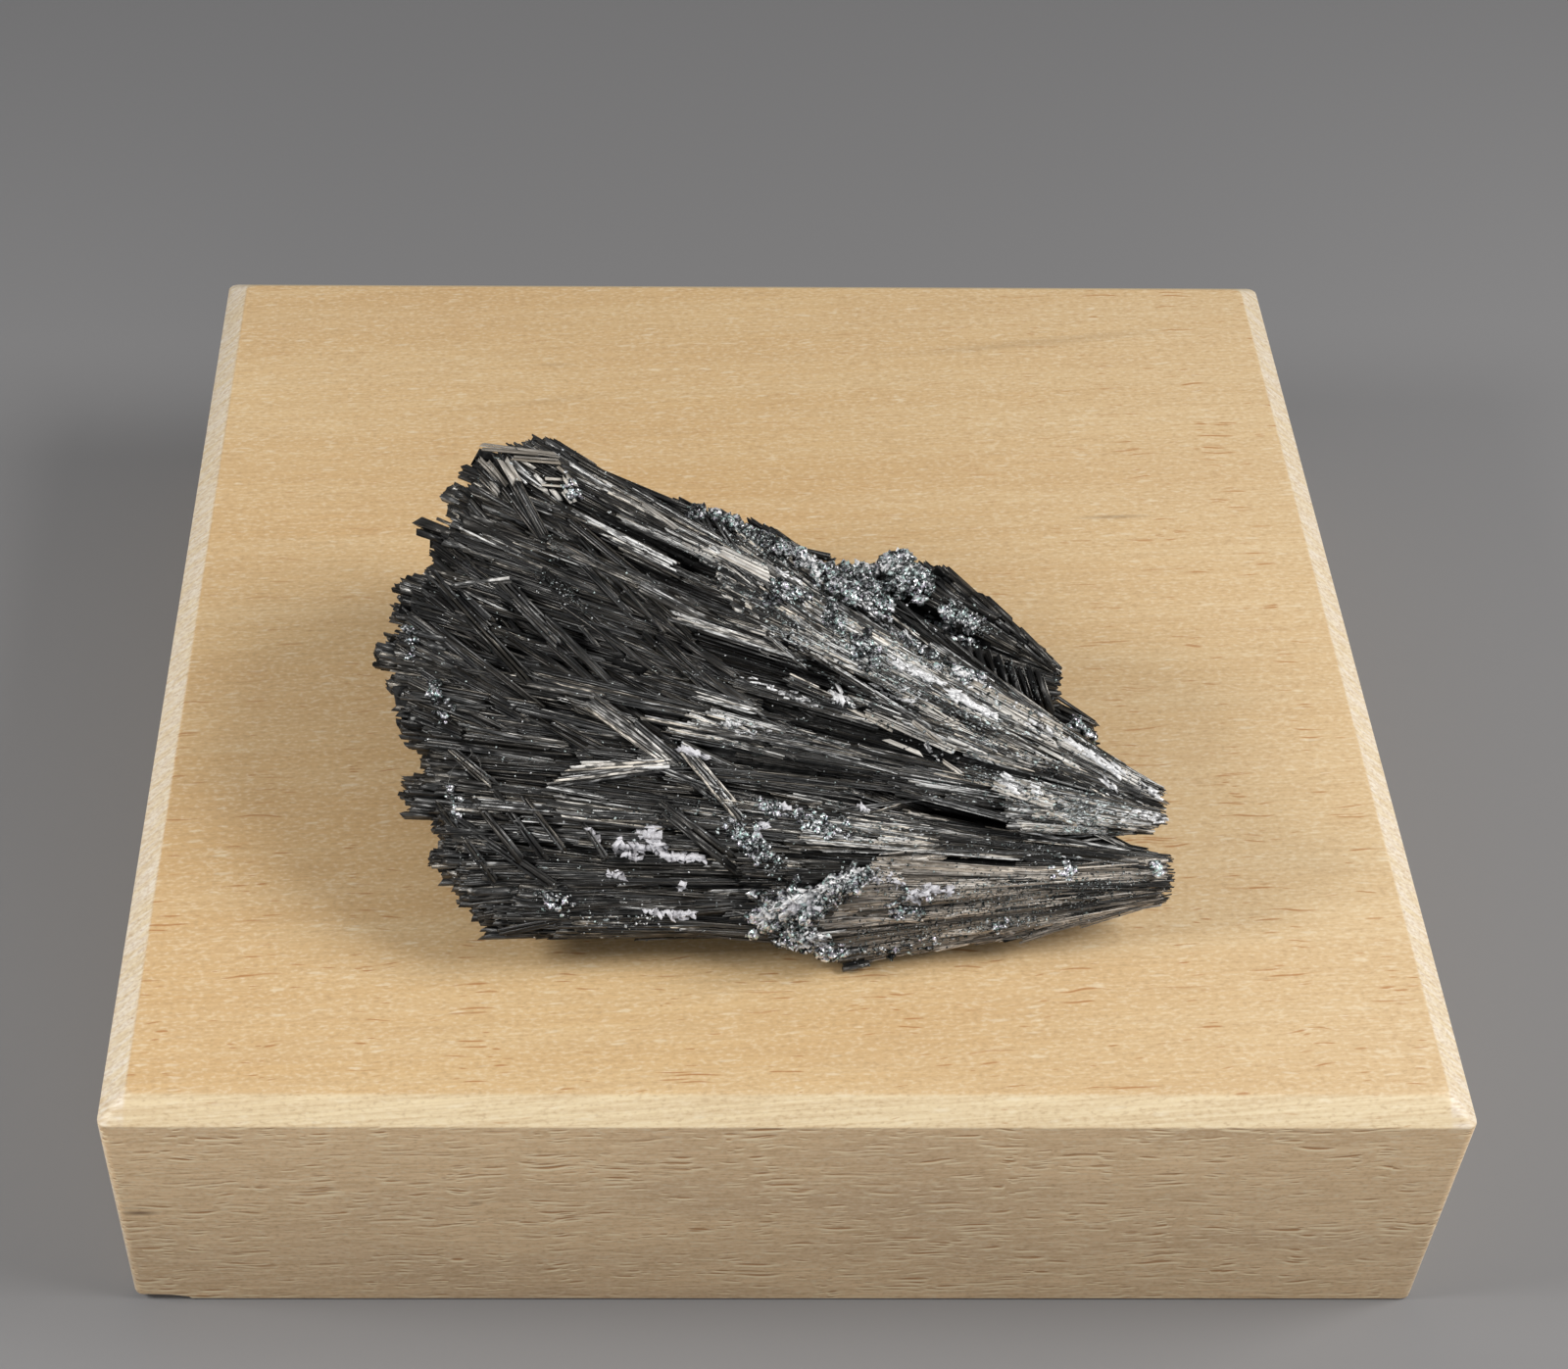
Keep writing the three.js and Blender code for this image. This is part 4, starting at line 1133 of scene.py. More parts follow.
def layBundles(rows, look, rng):
    # rows of start, end, width and count of rods: each is laid on what is there already
    rules = laidRules
    spots = rules["spots"]
    batches = []
    for start, end, width, rods, tone in rows:
        start, end = np.array([start], float), np.array([end], float)
        out = np.array([rules["outward"]])
        side = unit(np.cross(out, end - start))
        out = unit(np.cross(end - start, side))
        out = out if out[0, 2] > 0 else -out
        parts = np.linspace(rules["from"], rules["to"], spots)[:, None]
        along = start + (end - start) * parts
        lifts = surfaceLift(along, np.repeat(out, spots, axis=0), rules["probe"], needleTree)
        lift = out * (np.nanmedian(lifts[:look.get("feel", spots)]) + look["lift"])
        own = dict(look, needles=(rods, rods), width=(width / rods, width / rods))
        batches.append(splitBundles(start + lift, end + lift, side, out, own,
                                    np.array([tone]), rng))
    return batches


# the plates' pale tones are partly their own champagne colour and partly painted sheen
plateLook = {"lift": 0.32, "tilt": 0.05, "stagger": 0.1, "gap": (1.0, 1.1), "roll": 0.15,
             "vary": (0.8, 1.0), "spark": 0.2, "thin": 0.35}
plateRows = [  # start, end, width, laths, tone
    # champagne plates at the top of the broad end
    ((-17.6, -2.7, 17.5), (-13.2, -2.6, 16.6), 0.3, 2, 0.56),
    ((-17.6, -3, 17.4), (-14.4, -2.7, 16.8), 0.3, 1, 0.42),
    ((-15.8, -3.4, 17.2), (-13.1, -3, 16.6), 0.4, 2, 0.45),
    ((-16.4, -3.5, 17.1), (-15.6, -4.6, 16.4), 0.5, 1, 0.72),
    ((-16.1, -3.4, 17.2), (-15.3, -4.6, 16.5), 0.5, 1, 0.66),
    ((-17.6, -3.3, 17.1), (-16.4, -4.4, 16.4), 0.3, 2, 0.5),
    ((-17.2, -3.4, 17.1), (-16.1, -4.4, 16.1), 0.3, 2, 0.4),
    ((-14.8, -4.4, 16.6), (-13.6, -5.1, 16.3), 0.34, 1, 0.9),
    ((-14.4, -4.1, 16.8), (-13.8, -4.7, 16.5), 0.34, 1, 0.95),
    ((-14, -4.8, 16.4), (-12.5, -4.4, 15.9), 0.2, 1, 0.95),
    ((-14, -4.6, 16.6), (-12.7, -4, 16), 0.2, 1, 0.8),
    ((-12.6, -3.9, 16.1), (-12.1, -4.4, 15.8), 0.5, 2, 0.9),
    ((-12.7, -4.8, 16), (-12.1, -5.4, 15.6), 0.4, 2, 0.85),
    ((-13.2, -3.8, 17.1), (-12.4, -3.8, 16.2), 0.24, 1, 0.5),
    ((-15.1, -3.5, 17.2), (-14.4, -3.9, 17), 0.35, 1, 0.8),
    ((-17, -4.4, 16.1), (-16.5, -4.9, 15.7), 0.34, 2, 0.6),
    ((-13.4, -5, 16.4), (-12.8, -5.2, 15.6), 0.24, 1, 0.75),
    # champagne strips in the silver fan
    ((-3.4, -8.9, 14.3), (-0.6, -10.4, 13.8), 0.7, 4, 0.85),
    ((4.6, -17.9, 10.9), (9.6, -20, 9.9), 0.45, 3, 0.85),
    ((10.4, -15.9, 11.2), (15.8, -18.7, 9.9), 0.6, 4, 0.8),
    ((15.6, -19.2, 9.7), (20, -21.6, 8.8), 0.5, 3, 0.9),
    ((11.6, -22, 9), (15, -22.9, 8.4), 0.5, 3, 0.8),
    ((3.5, -17.6, 11), (6.2, -18.9, 10.3), 0.3, 1, 0.95),
    ((7, -18.8, 11), (8.5, -19.3, 10), 0.34, 2, 0.6),
    ((11.3, -16.8, 11.1), (15.4, -19.6, 9.9), 0.3, 1, 0.95),
    ((11.9, -17.4, 10.8), (15, -19.3, 10), 0.2, 1, 0.9),
    ((14.4, -19.7, 9.9), (16.6, -20.9, 9.4), 0.26, 1, 0.9),
    ((8.9, -20.5, 9.5), (9.9, -21.1, 9.1), 0.3, 2, 0.75),
    ((14.2, -23.3, 8.4), (16, -23.4, 7.4), 0.24, 1, 0.85),
    ((1.6, -13.9, 13.1), (2.6, -14.6, 12.9), 0.3, 1, 0.9),
    ((13.2, -21.7, 9.1), (16, -22.9, 8.3), 0.26, 1, 0.8),
    ((-5.5, -7.9, 14.4), (-3.3, -10, 14.8), 0.3, 2, 0.7),
    ((-8, -5.7, 15.5), (-6, -7.1, 14.8), 0.3, 2, 0.6),
    ((5.8, -19.3, 10.1), (7.7, -20.2, 9.9), 0.26, 1, 0.8),
    ((13.1, -18.8, 10.4), (15.3, -19.8, 9.9), 0.2, 1, 0.85),
]

needlePiece("cross_laths", layBundles(crossRows, crossLook, rng)
            + layBundles(pipeRows, pipeLook, rng), rng)
needlePiece("champagne_plates", layBundles(plateRows, plateLook, rng), rng, plateMetal)
needleTree = dressedTree()
print("cross laths laid")


# the druse: lumps and grains that crust the ridges

lumpRows = [  # line, spread, count, least and most size, brightness, stretch, flatness
    # the bumpy crest
    ([(-5, -4.9, 14.9), (-2.8, -5.8, 14.7), (-1.4, -6.5, 14.3), (0.3, -7.2, 13.6)], 0.38, 110, 0.3,
     0.75, 0.42, 1.2, 0.8),
    ([(0.3, -7.2, 13.6), (2, -8.3, 13.4), (3.2, -9, 13.1), (4.8, -10.8, 12.5)], 0.4, 110, 0.3, 0.75,
     0.5, 1.3, 0.8),
    ([(4.8, -10.8, 12.5), (7, -13.1, 11.9), (9.1, -14.7, 11.5)], 0.25, 44, 0.25, 0.5, 0.42, 1.4, 0.7),
    ([(9.6, -14.8, 11.3), (11.4, -15.3, 10.9)], 0.3, 46, 0.25, 0.55, 0.72, 1.2, 0.8),
    # crust on top of the rear crystals, and right of the pit
    ([(3.9, -7.3, 11.9), (5.2, -7.2, 12), (6.4, -7, 12.2), (8.2, -7.1, 12.3)], 0.55, 170, 0.35, 0.95,
     0.6, 1.1, 0.9),
    ([(4.8, -8.2, 11.8), (6.6, -8.4, 11.6), (8.8, -7.9, 11.4)], 0.45, 110, 0.3, 0.8, 0.45, 1.1, 0.85),
    ([(4.6, -9.6, 12.2), (6.2, -10.4, 11.6)], 0.4, 50, 0.25, 0.6, 0.4, 1.2, 0.8),
    ([(9.7, -9.5, 9.8), (10.6, -9.5, 10), (11.5, -10, 9.9)], 0.38, 130, 0.22, 0.5, 0.7, 1.1, 0.7),
    ([(18.2, -12.6, 5), (19, -13.5, 4.2)], 0.3, 40, 0.3, 0.6, 0.45, 1, 0.9),
    # patches in the silver fan
    ([(0.1, -11.2, 14.5), (-0.5, -12, 14.2), (0.8, -11.9, 14.3)], 0.35, 50, 0.25, 0.5, 0.4, 1.3, 0.6),
    ([(3, -11.4, 13), (2.6, -13.3, 13.6), (3.5, -13.3, 13.2)], 0.3, 46, 0.25, 0.5, 0.36, 1.3, 0.6),
    ([(4, -13.9, 12.7), (5.1, -15.2, 12.3)], 0.4, 70, 0.25, 0.55, 0.3, 1.2, 0.8),
    # the wedge's broad end, and flecks along its foot
    ([(-1.3, -26.7, 2.6), (-0.8, -26.5, 3.4), (0, -26.9, 4.2), (1, -27.4, 5)], 0.42, 220, 0.3, 0.8, 0.6,
     1.1, 0.85),
    ([(1, -27.4, 5), (2, -27.3, 5.9), (3.1, -27.1, 6.4), (4.2, -26.5, 7)], 0.32, 150, 0.3, 0.75, 0.6,
     1.2, 0.8),
    ([(0.2, -27.7, 2.6), (1.6, -27.8, 2.2)], 0.4, 90, 0.3, 0.7, 0.45, 1.1, 0.8),
    ([(6, -27.2, 4.6), (7.6, -27.1, 4.2)], 0.25, 40, 0.2, 0.45, 0.5, 1.2, 0.7),
    ([(2, -27.9, 1.4), (3.4, -27.8, 1.2)], 0.2, 24, 0.25, 0.5, 0.6, 1, 0.8),
    ([(4.5, -27.7, 1.4), (7.6, -27.2, 1.2), (9.1, -27, 1.4)], 0.2, 22, 0.2, 0.42, 0.4, 1.2, 0.7),
    ([(12, -26.9, 2.4), (12.6, -26.7, 2.8)], 0.16, 16, 0.2, 0.4, 0.75, 1.2, 0.7),
    ([(21.1, -24.8, 5.7), (21.2, -24.9, 4.9)], 0.14, 14, 0.25, 0.5, 0.8, 1, 0.8),
    ([(15, -25.6, 6), (16.4, -25.4, 6.1)], 0.2, 16, 0.18, 0.36, 0.7, 1.2, 0.6),
    # lips of the gap above the wedge
    ([(-3.2, -23.2, 7.4), (-1.8, -24.5, 6.6), (-0.9, -25.2, 6.2)], 0.4, 80, 0.22, 0.55, 0.5, 1.2, 0.7),
    ([(-1.7, -22, 7.8), (0.6, -22.8, 7.4), (3.6, -23.6, 6.9)], 0.35, 60, 0.2, 0.45, 0.45, 1.4, 0.6),
    # knobs of the broad end
    ([(-19.9, -16.4, 11.4), (-19.2, -18.4, 10.6)], 0.25, 26, 0.2, 0.45, 0.4, 1, 0.8),
    ([(-12.3, -4.4, 16), (-11.8, -5.2, 15.8)], 0.25, 26, 0.2, 0.42, 0.6, 1.2, 0.7),
    ([(-18.9, -22, 8.6), (-18.4, -23.4, 7.6)], 0.2, 20, 0.2, 0.4, 0.5, 1, 0.8),
    ([(-14.2, -26.6, 5.3), (-12, -27.2, 4.4)], 0.3, 26, 0.2, 0.45, 0.5, 1.2, 0.7),
    ([(-21.2, -13.2, 12.9), (-21.4, -15.2, 12.2)], 0.25, 16, 0.2, 0.4, 0.4, 1, 0.8),
]

grainRows = [  # line, spread, count, least and most size, brightness
    ([(-2.8, -6, 14.6), (-0.3, -8.1, 13.8), (2, -8.8, 13.4), (4.8, -10.8, 12.5)], 0.8, 300, 0.1, 0.24,
     0.6),
    ([(4.8, -10.8, 12.5), (9.1, -14.8, 11.5), (13.5, -17.6, 10.6), (17.9, -19.6, 9.3),
      (20.2, -21.6, 8.7)], 0.4, 360, 0.08, 0.2, 0.6),
    ([(-5.5, -7.9, 14.4), (-3.2, -10.5, 13.6), (-1, -12.6, 13.7), (1.2, -14.1, 13.3), (4, -15.1, 12.5),
      (6.7, -16.6, 11.8), (9.5, -18.1, 11), (11.6, -19.7, 10.6), (16.6, -21, 9.3)], 0.5, 420, 0.07,
     0.18, 0.5),
    ([(1.7, -16.2, 11.3), (6.1, -18.7, 10.3), (11.1, -20.8, 9.4), (19.3, -22.5, 8.7)], 0.4, 240, 0.07,
     0.18, 0.5),
    ([(4, -7.6, 12), (6.3, -7.6, 11.6), (8.3, -7.1, 12.1)], 0.8, 420, 0.12, 0.3, 0.6),
    ([(10, -8.8, 10.2), (12.3, -10.1, 9.4)], 0.6, 260, 0.08, 0.2, 0.7),
    ([(13.2, -11.4, 9), (15.4, -13.6, 7.6)], 0.5, 60, 0.08, 0.2, 0.4),
    ([(-3.6, -18.7, 10.9), (-1.4, -19.1, 10.3)], 0.25, 70, 0.06, 0.16, 0.6),
    ([(-3.4, -23.2, 7.4), (-1.6, -24.7, 6.6), (-0.1, -26.1, 5.7)], 0.6, 150, 0.08, 0.2, 0.6),
    ([(-1.7, -21.7, 7.8), (1.6, -23, 7.2), (5.5, -24, 6.7), (11.1, -24.3, 6.2), (16.7, -23.9, 6.1)],
     0.5, 260, 0.06, 0.16, 0.5),
    ([(-0.8, -26.6, 3.2), (0.5, -27.6, 3.6), (1.6, -27.5, 4.4), (2.6, -27.3, 5.6), (4.2, -26.6, 7)],
     0.6, 420, 0.1, 0.26, 0.6),
    ([(2.8, -27.9, 1.4), (5.6, -27.5, 1.8), (9, -27, 2.1), (14.6, -26.4, 2.8)], 0.6, 320, 0.07, 0.2,
     0.55),
    ([(4.2, -26.6, 7), (8.2, -26.7, 4.8), (13.8, -26.1, 4.4), (20.4, -25, 5)], 0.8, 420, 0.06, 0.17,
     0.5),
    ([(-14.3, -9.5, 13.9), (-12.6, -10.6, 13.6), (-11.2, -12, 13.1)], 0.3, 90, 0.05, 0.15, 0.4),
    ([(-13.6, -7.6, 14.9), (-12.9, -9, 14.4)], 0.3, 40, 0.05, 0.15, 0.4),
    ([(4, -27.2, 2.2), (9, -27, 3.4), (14, -26.4, 4), (20, -25.2, 4.6)], 1.1, 1500, 0.04, 0.13, 0.42),
    ([(5, -27, 5), (9, -26.9, 5), (14, -26, 5)], 0.8, 700, 0.04, 0.12, 0.42),
    ([(-11, -27.2, 3), (-6.7, -27.1, 3.5)], 0.3, 60, 0.08, 0.2, 0.7),
    ([(-9, -23.6, 7.4), (-4.6, -22.4, 7.8), (-1.6, -21.6, 8)], 0.7, 120, 0.06, 0.16, 0.5),
]


dropLook = {"outward": (0.0, -0.45, 0.89), "probe": 4.0, "farthest": 2.0}


def scatterOnTop(line, spread, count, rng, tumble=0.2):
    # places along a line, moved aside at random and dropped on the crystals, each with its way
    # out, and the way the line runs
    line = np.array(line, float)
    run = runOf(line)
    base = pointsOn(line, run, rng.uniform(0, run[-1], count))
    base = base + rng.normal(0, spread, (count, 3)) * rng.uniform(0.3, 1.2, count)[:, None]
    ways = unit(np.array(dropLook["outward"]) + rng.normal(0, tumble, (count, 3)))
    lifts = surfaceLift(base, ways, dropLook["probe"], needleTree)
    sound = ~np.isnan(lifts) & (np.abs(lifts) < dropLook["farthest"])
    base = base + ways * np.nan_to_num(lifts)[:, None]
    return base[sound], ways[sound], unit(line[-1:] - line[:1])


grainLook = {"skew": 0.22, "uvSpan": 400}


def grainArrays(middle, half, a, b, rng):
    # eight-faced grains: half sizes along a, along the way out b, and across
    count = len(middle)
    a = squared(a, b)
    c = np.cross(a, b)
    corners = np.empty((count, 6, 3))
    for k, (axis, index, sign) in enumerate(((a, 0, 1), (a, 0, -1), (b, 1, 1), (b, 1, -1),
                                             (c, 2, 1), (c, 2, -1))):
        skew = rng.normal(0, grainLook["skew"], (count, 3)) * half.min(axis=1, keepdims=True)
        corners[:, k] = middle + axis * (sign * half[:, index])[:, None] + skew
    faces = np.array([(0, 2, 4), (2, 1, 4), (1, 3, 4), (3, 0, 4),
                      (2, 0, 5), (1, 2, 5), (3, 1, 5), (0, 3, 5)])
    tris = (np.arange(count) * 6)[:, None, None] + faces
    uv = rng.uniform(0, grainLook["uvSpan"], (count, 1, 1, 2)) + np.zeros((count, 8, 3, 2))
    return corners.reshape(-1, 3), tris.reshape(-1, 3), uv


def makeBall():
    # one small ball, whose corners and faces every lump copies
    selectOnly()
    bpy.ops.mesh.primitive_ico_sphere_add(subdivisions=2, radius=0.5, location=(0, 0, 0))
    ball = bpy.context.object
    corners = np.array([v.co[:] for v in ball.data.vertices])
    faces = np.array([p.vertices[:] for p in ball.data.polygons])
    bpy.data.objects.remove(ball)
    return corners, faces


ballCorners, ballFaces = makeBall()


lumpLook = {"crumble": 0.28, "sink": 0.28, "lean": 0.25, "toneVary": 0.16, "above": (0.2, 1),
            "uneven": (0.75, 1.25)}


def lumpPiece(name, rows, rng, material):
    # crumbly lumps packed along each row's line, lengthened the way the line runs
    look = lumpLook
    corners, tones = [], []
    for line, spread, count, least, most, bright, stretch, flatness in rows:
        middle, ways, run = scatterOnTop(line, spread, count, rng)
        count = len(middle)
        a = squared(unit(run + rng.normal(0, look["lean"], (count, 3))), ways)
        c = np.cross(ways, a)
        size = rng.uniform(least, most, count)[:, None]
        above = rng.uniform(*look["above"], (count, 1))
        middle = middle + ways * size * flatness * (0.5 - look["sink"]) * above
        shape = ballCorners * (1 + rng.normal(0, look["crumble"], (count, len(ballCorners), 1)))
        uneven = rng.uniform(*look["uneven"], (count, 3))
        scale = size * uneven * np.array([stretch, 1, flatness])
        shape = shape * scale[:, None, :]
        corners.append(middle[:, None, :] + shape[:, :, :1] * a[:, None, :]
                       + shape[:, :, 1:2] * c[:, None, :] + shape[:, :, 2:] * ways[:, None, :])
        tone = np.clip(bright + rng.normal(0, look["toneVary"], count), 0, 1)
        tones.append(np.repeat(tone, len(ballCorners)))
    corners = np.concatenate(corners)
    count = len(corners)
    corners = corners.reshape(-1, 3)
    tris = (np.arange(count) * len(ballCorners))[:, None, None] + ballFaces
    tris = tris.reshape(-1, 3)
    uv = np.zeros((len(tris), 3, 2))
    meshPiece(name, corners, tris, uv, np.concatenate(tones), material)
    dressed.append((corners, tris))
    print(name, "has", count, "lumps")


lumpPiece("druse_crust", lumpRows, np.random.default_rng(61), crustMetal())
needleTree = dressedTree()


def spotsOn(sheaf, count, rng):
    # places spread over a sheaf's open side, with its ways there
    rim, root, along, side, out = sheafRays(sheaf, rng.uniform(*sheaf["open"], count))
    share = np.sqrt(rng.uniform(0.02, 1, count))[:, None]
    return root + (rim - root) * share, along, side, out


glintLook = {"length": (0.5, 3.2), "width": (0.08, 0.34), "fill": 26, "chip": (0.12, 0.6),
             "lean": 0.25, "stray": 0.05, "inPatch": 0.6, "spread": 0.35, "slim": (0.16, 0.42),
             "flat": 0.3, "probe": 2.0, "farthest": 1.6, "own": (0.25, 0.7), "patchTone": 0.4,
             "tone": (0.15, 1.25)}
glintRows = [(upperSheaf, 1512), (ridgeSheaf, 576), (tipSheaf, 432), (lowerSheaf, 864),
             (frontWedge, 216)]  # sheaf and patches tried


def makeGlints(rng):
    # slivers that lie along the crystals in patches, each leaning its own way, and painted brighter as
    # sheen in the silver patches
    look = glintLook
    middles, halves, ways, outs, tones = [], [], [], [], []
    for sheaf, count in glintRows:
        base, along, side, out = spotsOn(sheaf, count, rng)
        here = nearness(base, silverSheenPatches)
        likely = look["stray"] + look["inPatch"] * here
        keep = np.flatnonzero(rng.uniform(0, 1, count) < likely)
        for i in keep:
            length = rng.uniform(*look["length"])
            width = rng.uniform(*look["width"])
            chips = max(2, int(look["fill"] * length * width * (0.35 + here[i])))
            spot = (base[i] + along[i] * rng.uniform(-0.5, 0.5, (chips, 1)) * length
                    + side[i] * rng.normal(0, look["spread"], (chips, 1)) * width)
            ray = np.repeat(out[i:i + 1], chips, axis=0)
            lift = surfaceLift(spot, ray, look["probe"], needleTree)
            good = ~np.isnan(lift) & (np.abs(lift) < look["farthest"])
            chips = int(good.sum())
            spot = spot[good] + out[i] * lift[good][:, None]
            size = rng.uniform(*look["chip"], chips) * (0.5 + 0.5 * rng.uniform(0, 1, chips))
            across = size * rng.uniform(*look["slim"], chips)
            middles.append(spot)
            halves.append(np.stack([size / 2, across * look["flat"], across / 2], axis=1))
            ways.append(along[i] + rng.normal(0, look["lean"], (chips, 3)))
            outs.append(unit(out[i] + rng.normal(0, look["lean"], (chips, 3))))
            own = rng.uniform(*look["own"]) + look["patchTone"] * here[i]
            tones.append(own * rng.uniform(*look["tone"], chips))
    middle, half, a, b = (np.concatenate(rows) for rows in (middles, halves, ways, outs))
    corners, tris, uv = grainArrays(middle, half, a, b, rng)
    meshPiece("silver_slivers", corners, tris, uv,
              np.repeat(np.clip(np.concatenate(tones), 0, 1), 6), druseMetal)
    print("silver_slivers has", len(middle), "slivers")


makeGlints(np.random.default_rng(17))


lineGrains = {"lift": (-0.1, 0.35), "curve": 1.3, "gain": 1.6, "uneven": (0.6, 1.5)}
strayLook = {"size": (0.04, 0.12), "tone": (0.2, 1.0), "farthest": 1.8}
strayRows = [(upperSheaf, 1700), (lowerSheaf, 900), (ridgeSheaf, 300)]  # sheaf and count


# druse grains: their bright tones are painted glints, over the light their own facets catch
def makeGrains(rng):
    look, stray = lineGrains, strayLook
    middles, sizes, tones = [], [], []
    for line, spread, count, least, most, bright in grainRows:
        middle, ways, _ = scatterOnTop(line, spread, count, rng)
        size = rng.uniform(least, most, len(middle))
        middles.append(middle + ways * (size * rng.uniform(*look["lift"], len(size)))[:, None])
        sizes.append(size)
        tones.append(bright * rng.uniform(0, 1, len(size)) ** look["curve"] * look["gain"])
    for sheaf, count in strayRows:
        base, _, _, out = spotsOn(sheaf, count, rng)
        lifts = surfaceLift(base, out, tree=needleTree)
        sound = ~np.isnan(lifts) & (np.abs(lifts) < stray["farthest"])
        middles.append((base + out * np.nan_to_num(lifts)[:, None])[sound])
        sizes.append(rng.uniform(*stray["size"], count)[sound])
        tones.append(rng.uniform(*stray["tone"], count)[sound])
    middle, size = np.concatenate(middles), np.concatenate(sizes)
    count = len(middle)
    half = size[:, None] / 2 * rng.uniform(*look["uneven"], (count, 3)) * np.array([1.3, 1, 1])
    corners, tris, uv = grainArrays(middle, half, rng.normal(0, 1, (count, 3)),
                                    unit(rng.normal(0, 1, (count, 3))), rng)
    tone = np.repeat(np.clip(np.concatenate(tones), 0, 1), 6)
    meshPiece("druse_grains", corners, tris, uv, tone, druseMetal)
    print("druse_grains has", count, "grains")


makeGrains(np.random.default_rng(233))


# foils: small plates painted near white as glare, most of them along the silver fan

shardLook = {"lift": (-0.02, 0.08), "height": (0.05, 0.12), "half": (0.4, 0.6), "toneLift": 0.03,
             "toneVary": 0.16, "slant": 0.5}


def shardPiece(name, rows, rng, material, tumble=0.2):
    # thin slanted plates packed along each row's line, most of them along it
    look = shardLook
    parts = {key: [] for key in ("start", "end", "side", "width", "height", "tone", "slant")}
    for line, spread, count, least, most, bright, stretch, swing in rows:
        middle, ways, run = scatterOnTop(line, spread, count, rng, tumble)
        count = len(middle)
        lean = unit(ways + rng.normal(0, tumble, (count, 3)))
        turned = rng.normal(0, swing, (count, 1))
        along = squared(run, lean)
        along = along * np.cos(turned) + np.cross(lean, along) * np.sin(turned)
        width = rng.uniform(least, most, count)
        half = along * (width * stretch * rng.uniform(*look["half"], count))[:, None]
        middle = middle + ways * rng.uniform(*look["lift"], (count, 1))
        parts["start"].append(middle - half)
        parts["end"].append(middle + half)
        parts["side"].append(np.cross(along, lean))
        parts["width"].append(width)
        parts["height"].append(rng.uniform(*look["height"], count))
        tone = bright + rng.normal(look["toneLift"], look["toneVary"], count)
        parts["tone"].append(np.clip(tone, 0, 1))
        parts["slant"].append(rng.normal(0, look["slant"], (count, 2)))
    batch = {key: np.concatenate(values) for key, values in parts.items()}
    needlePiece(name, [batch], rng, material)


foilRows = [  # line, spread, count, least and most width, brightness, stretch, swing
    ([(2.7, -16.5, 11.2), (3.7, -17.6, 11)], 0.1, 26, 0.14, 0.34, 0.95, 2.4, 0.4),
    ([(6, -15, 12.2), (7.3, -15.7, 11.9), (8.9, -16.3, 11.5)], 0.12, 50, 0.12, 0.26, 0.85, 3.4, 0.25),
    ([(9.6, -16.8, 11.3), (12, -18.2, 10.7)], 0.09, 60, 0.12, 0.28, 1, 3.8, 0.15),
    ([(16.2, -19.2, 9.9), (18.8, -21, 9.2)], 0.08, 60, 0.12, 0.26, 1, 4, 0.12),
    ([(10, -15.3, 11.3), (11.4, -15.6, 10.8)], 0.12, 26, 0.1, 0.26, 0.9, 2.4, 0.4),
    ([(6.2, -17.1, 11.4), (7.3, -17.5, 11.3)], 0.08, 18, 0.1, 0.22, 0.85, 2.6, 0.3),
    ([(12.1, -21.6, 9.2), (14, -22.4, 8.8)], 0.13, 44, 0.12, 0.28, 0.9, 2.8, 0.3),
    ([(20.2, -21.8, 9), (21.2, -22.4, 8.6)], 0.1, 22, 0.1, 0.26, 0.9, 2, 0.4),
    ([(1.5, -7.8, 13.6), (2.3, -9.6, 13.2)], 0.14, 20, 0.12, 0.3, 0.85, 2, 0.5),
    ([(17.6, -21.4, 9.2), (18.5, -22, 9)], 0.05, 10, 0.1, 0.2, 0.85, 3, 0.2),
    ([(5.1, -16.6, 11.8), (5.9, -17, 11.5)], 0.05, 10, 0.1, 0.2, 0.8, 2.6, 0.3),
    ([(8, -19.6, 10.1), (8.8, -20.4, 9.7)], 0.05, 10, 0.1, 0.2, 0.8, 3, 0.2),
    ([(19.3, -23, 8), (21.3, -23.2, 7.7)], 0.08, 20, 0.08, 0.2, 0.8, 3, 0.2),
    ([(-0.4, -9.4, 13.9), (1.3, -10, 13.3)], 0.08, 18, 0.1, 0.24, 0.85, 3, 0.25),
    ([(14, -18.3, 10.2), (15, -18.8, 10)], 0.06, 12, 0.1, 0.2, 0.75, 3, 0.2),
    ([(4.5, -11, 12.6), (8, -13.4, 11.8)], 0.15, 24, 0.1, 0.22, 0.7, 3, 0.3),
    ([(-2.4, -16, 12), (1.6, -17.4, 11.2)], 0.12, 24, 0.08, 0.18, 0.6, 3.6, 0.2),
    ([(-3.4, -18.8, 10.9), (-1.2, -19.2, 10.3)], 0.15, 24, 0.08, 0.18, 0.7, 3, 0.3),
    # the wedge's broad end
    ([(-1.2, -26.6, 2.8), (-0.2, -26.9, 4.2), (1, -27.2, 5.2)], 0.24, 60, 0.12, 0.3, 0.72, 2.6, 0.5),
    ([(1, -27.3, 5.2), (2.4, -27.2, 6.2), (4, -26.6, 7)], 0.18, 50, 0.12, 0.28, 0.72, 2.8, 0.4),
    ([(0.2, -27.6, 2.4), (2, -27.8, 2)], 0.3, 30, 0.12, 0.3, 0.55, 2.4, 0.5),
    # the rear crust
    ([(4.4, -7.4, 12.1), (6.4, -7.4, 12.2), (8.2, -7.2, 12.2)], 0.4, 50, 0.12, 0.34, 0.66, 1.8, 0.9),
    ([(9.8, -9.5, 9.9), (11.5, -10, 10)], 0.25, 24, 0.1, 0.24, 0.7, 1.6, 1),
]


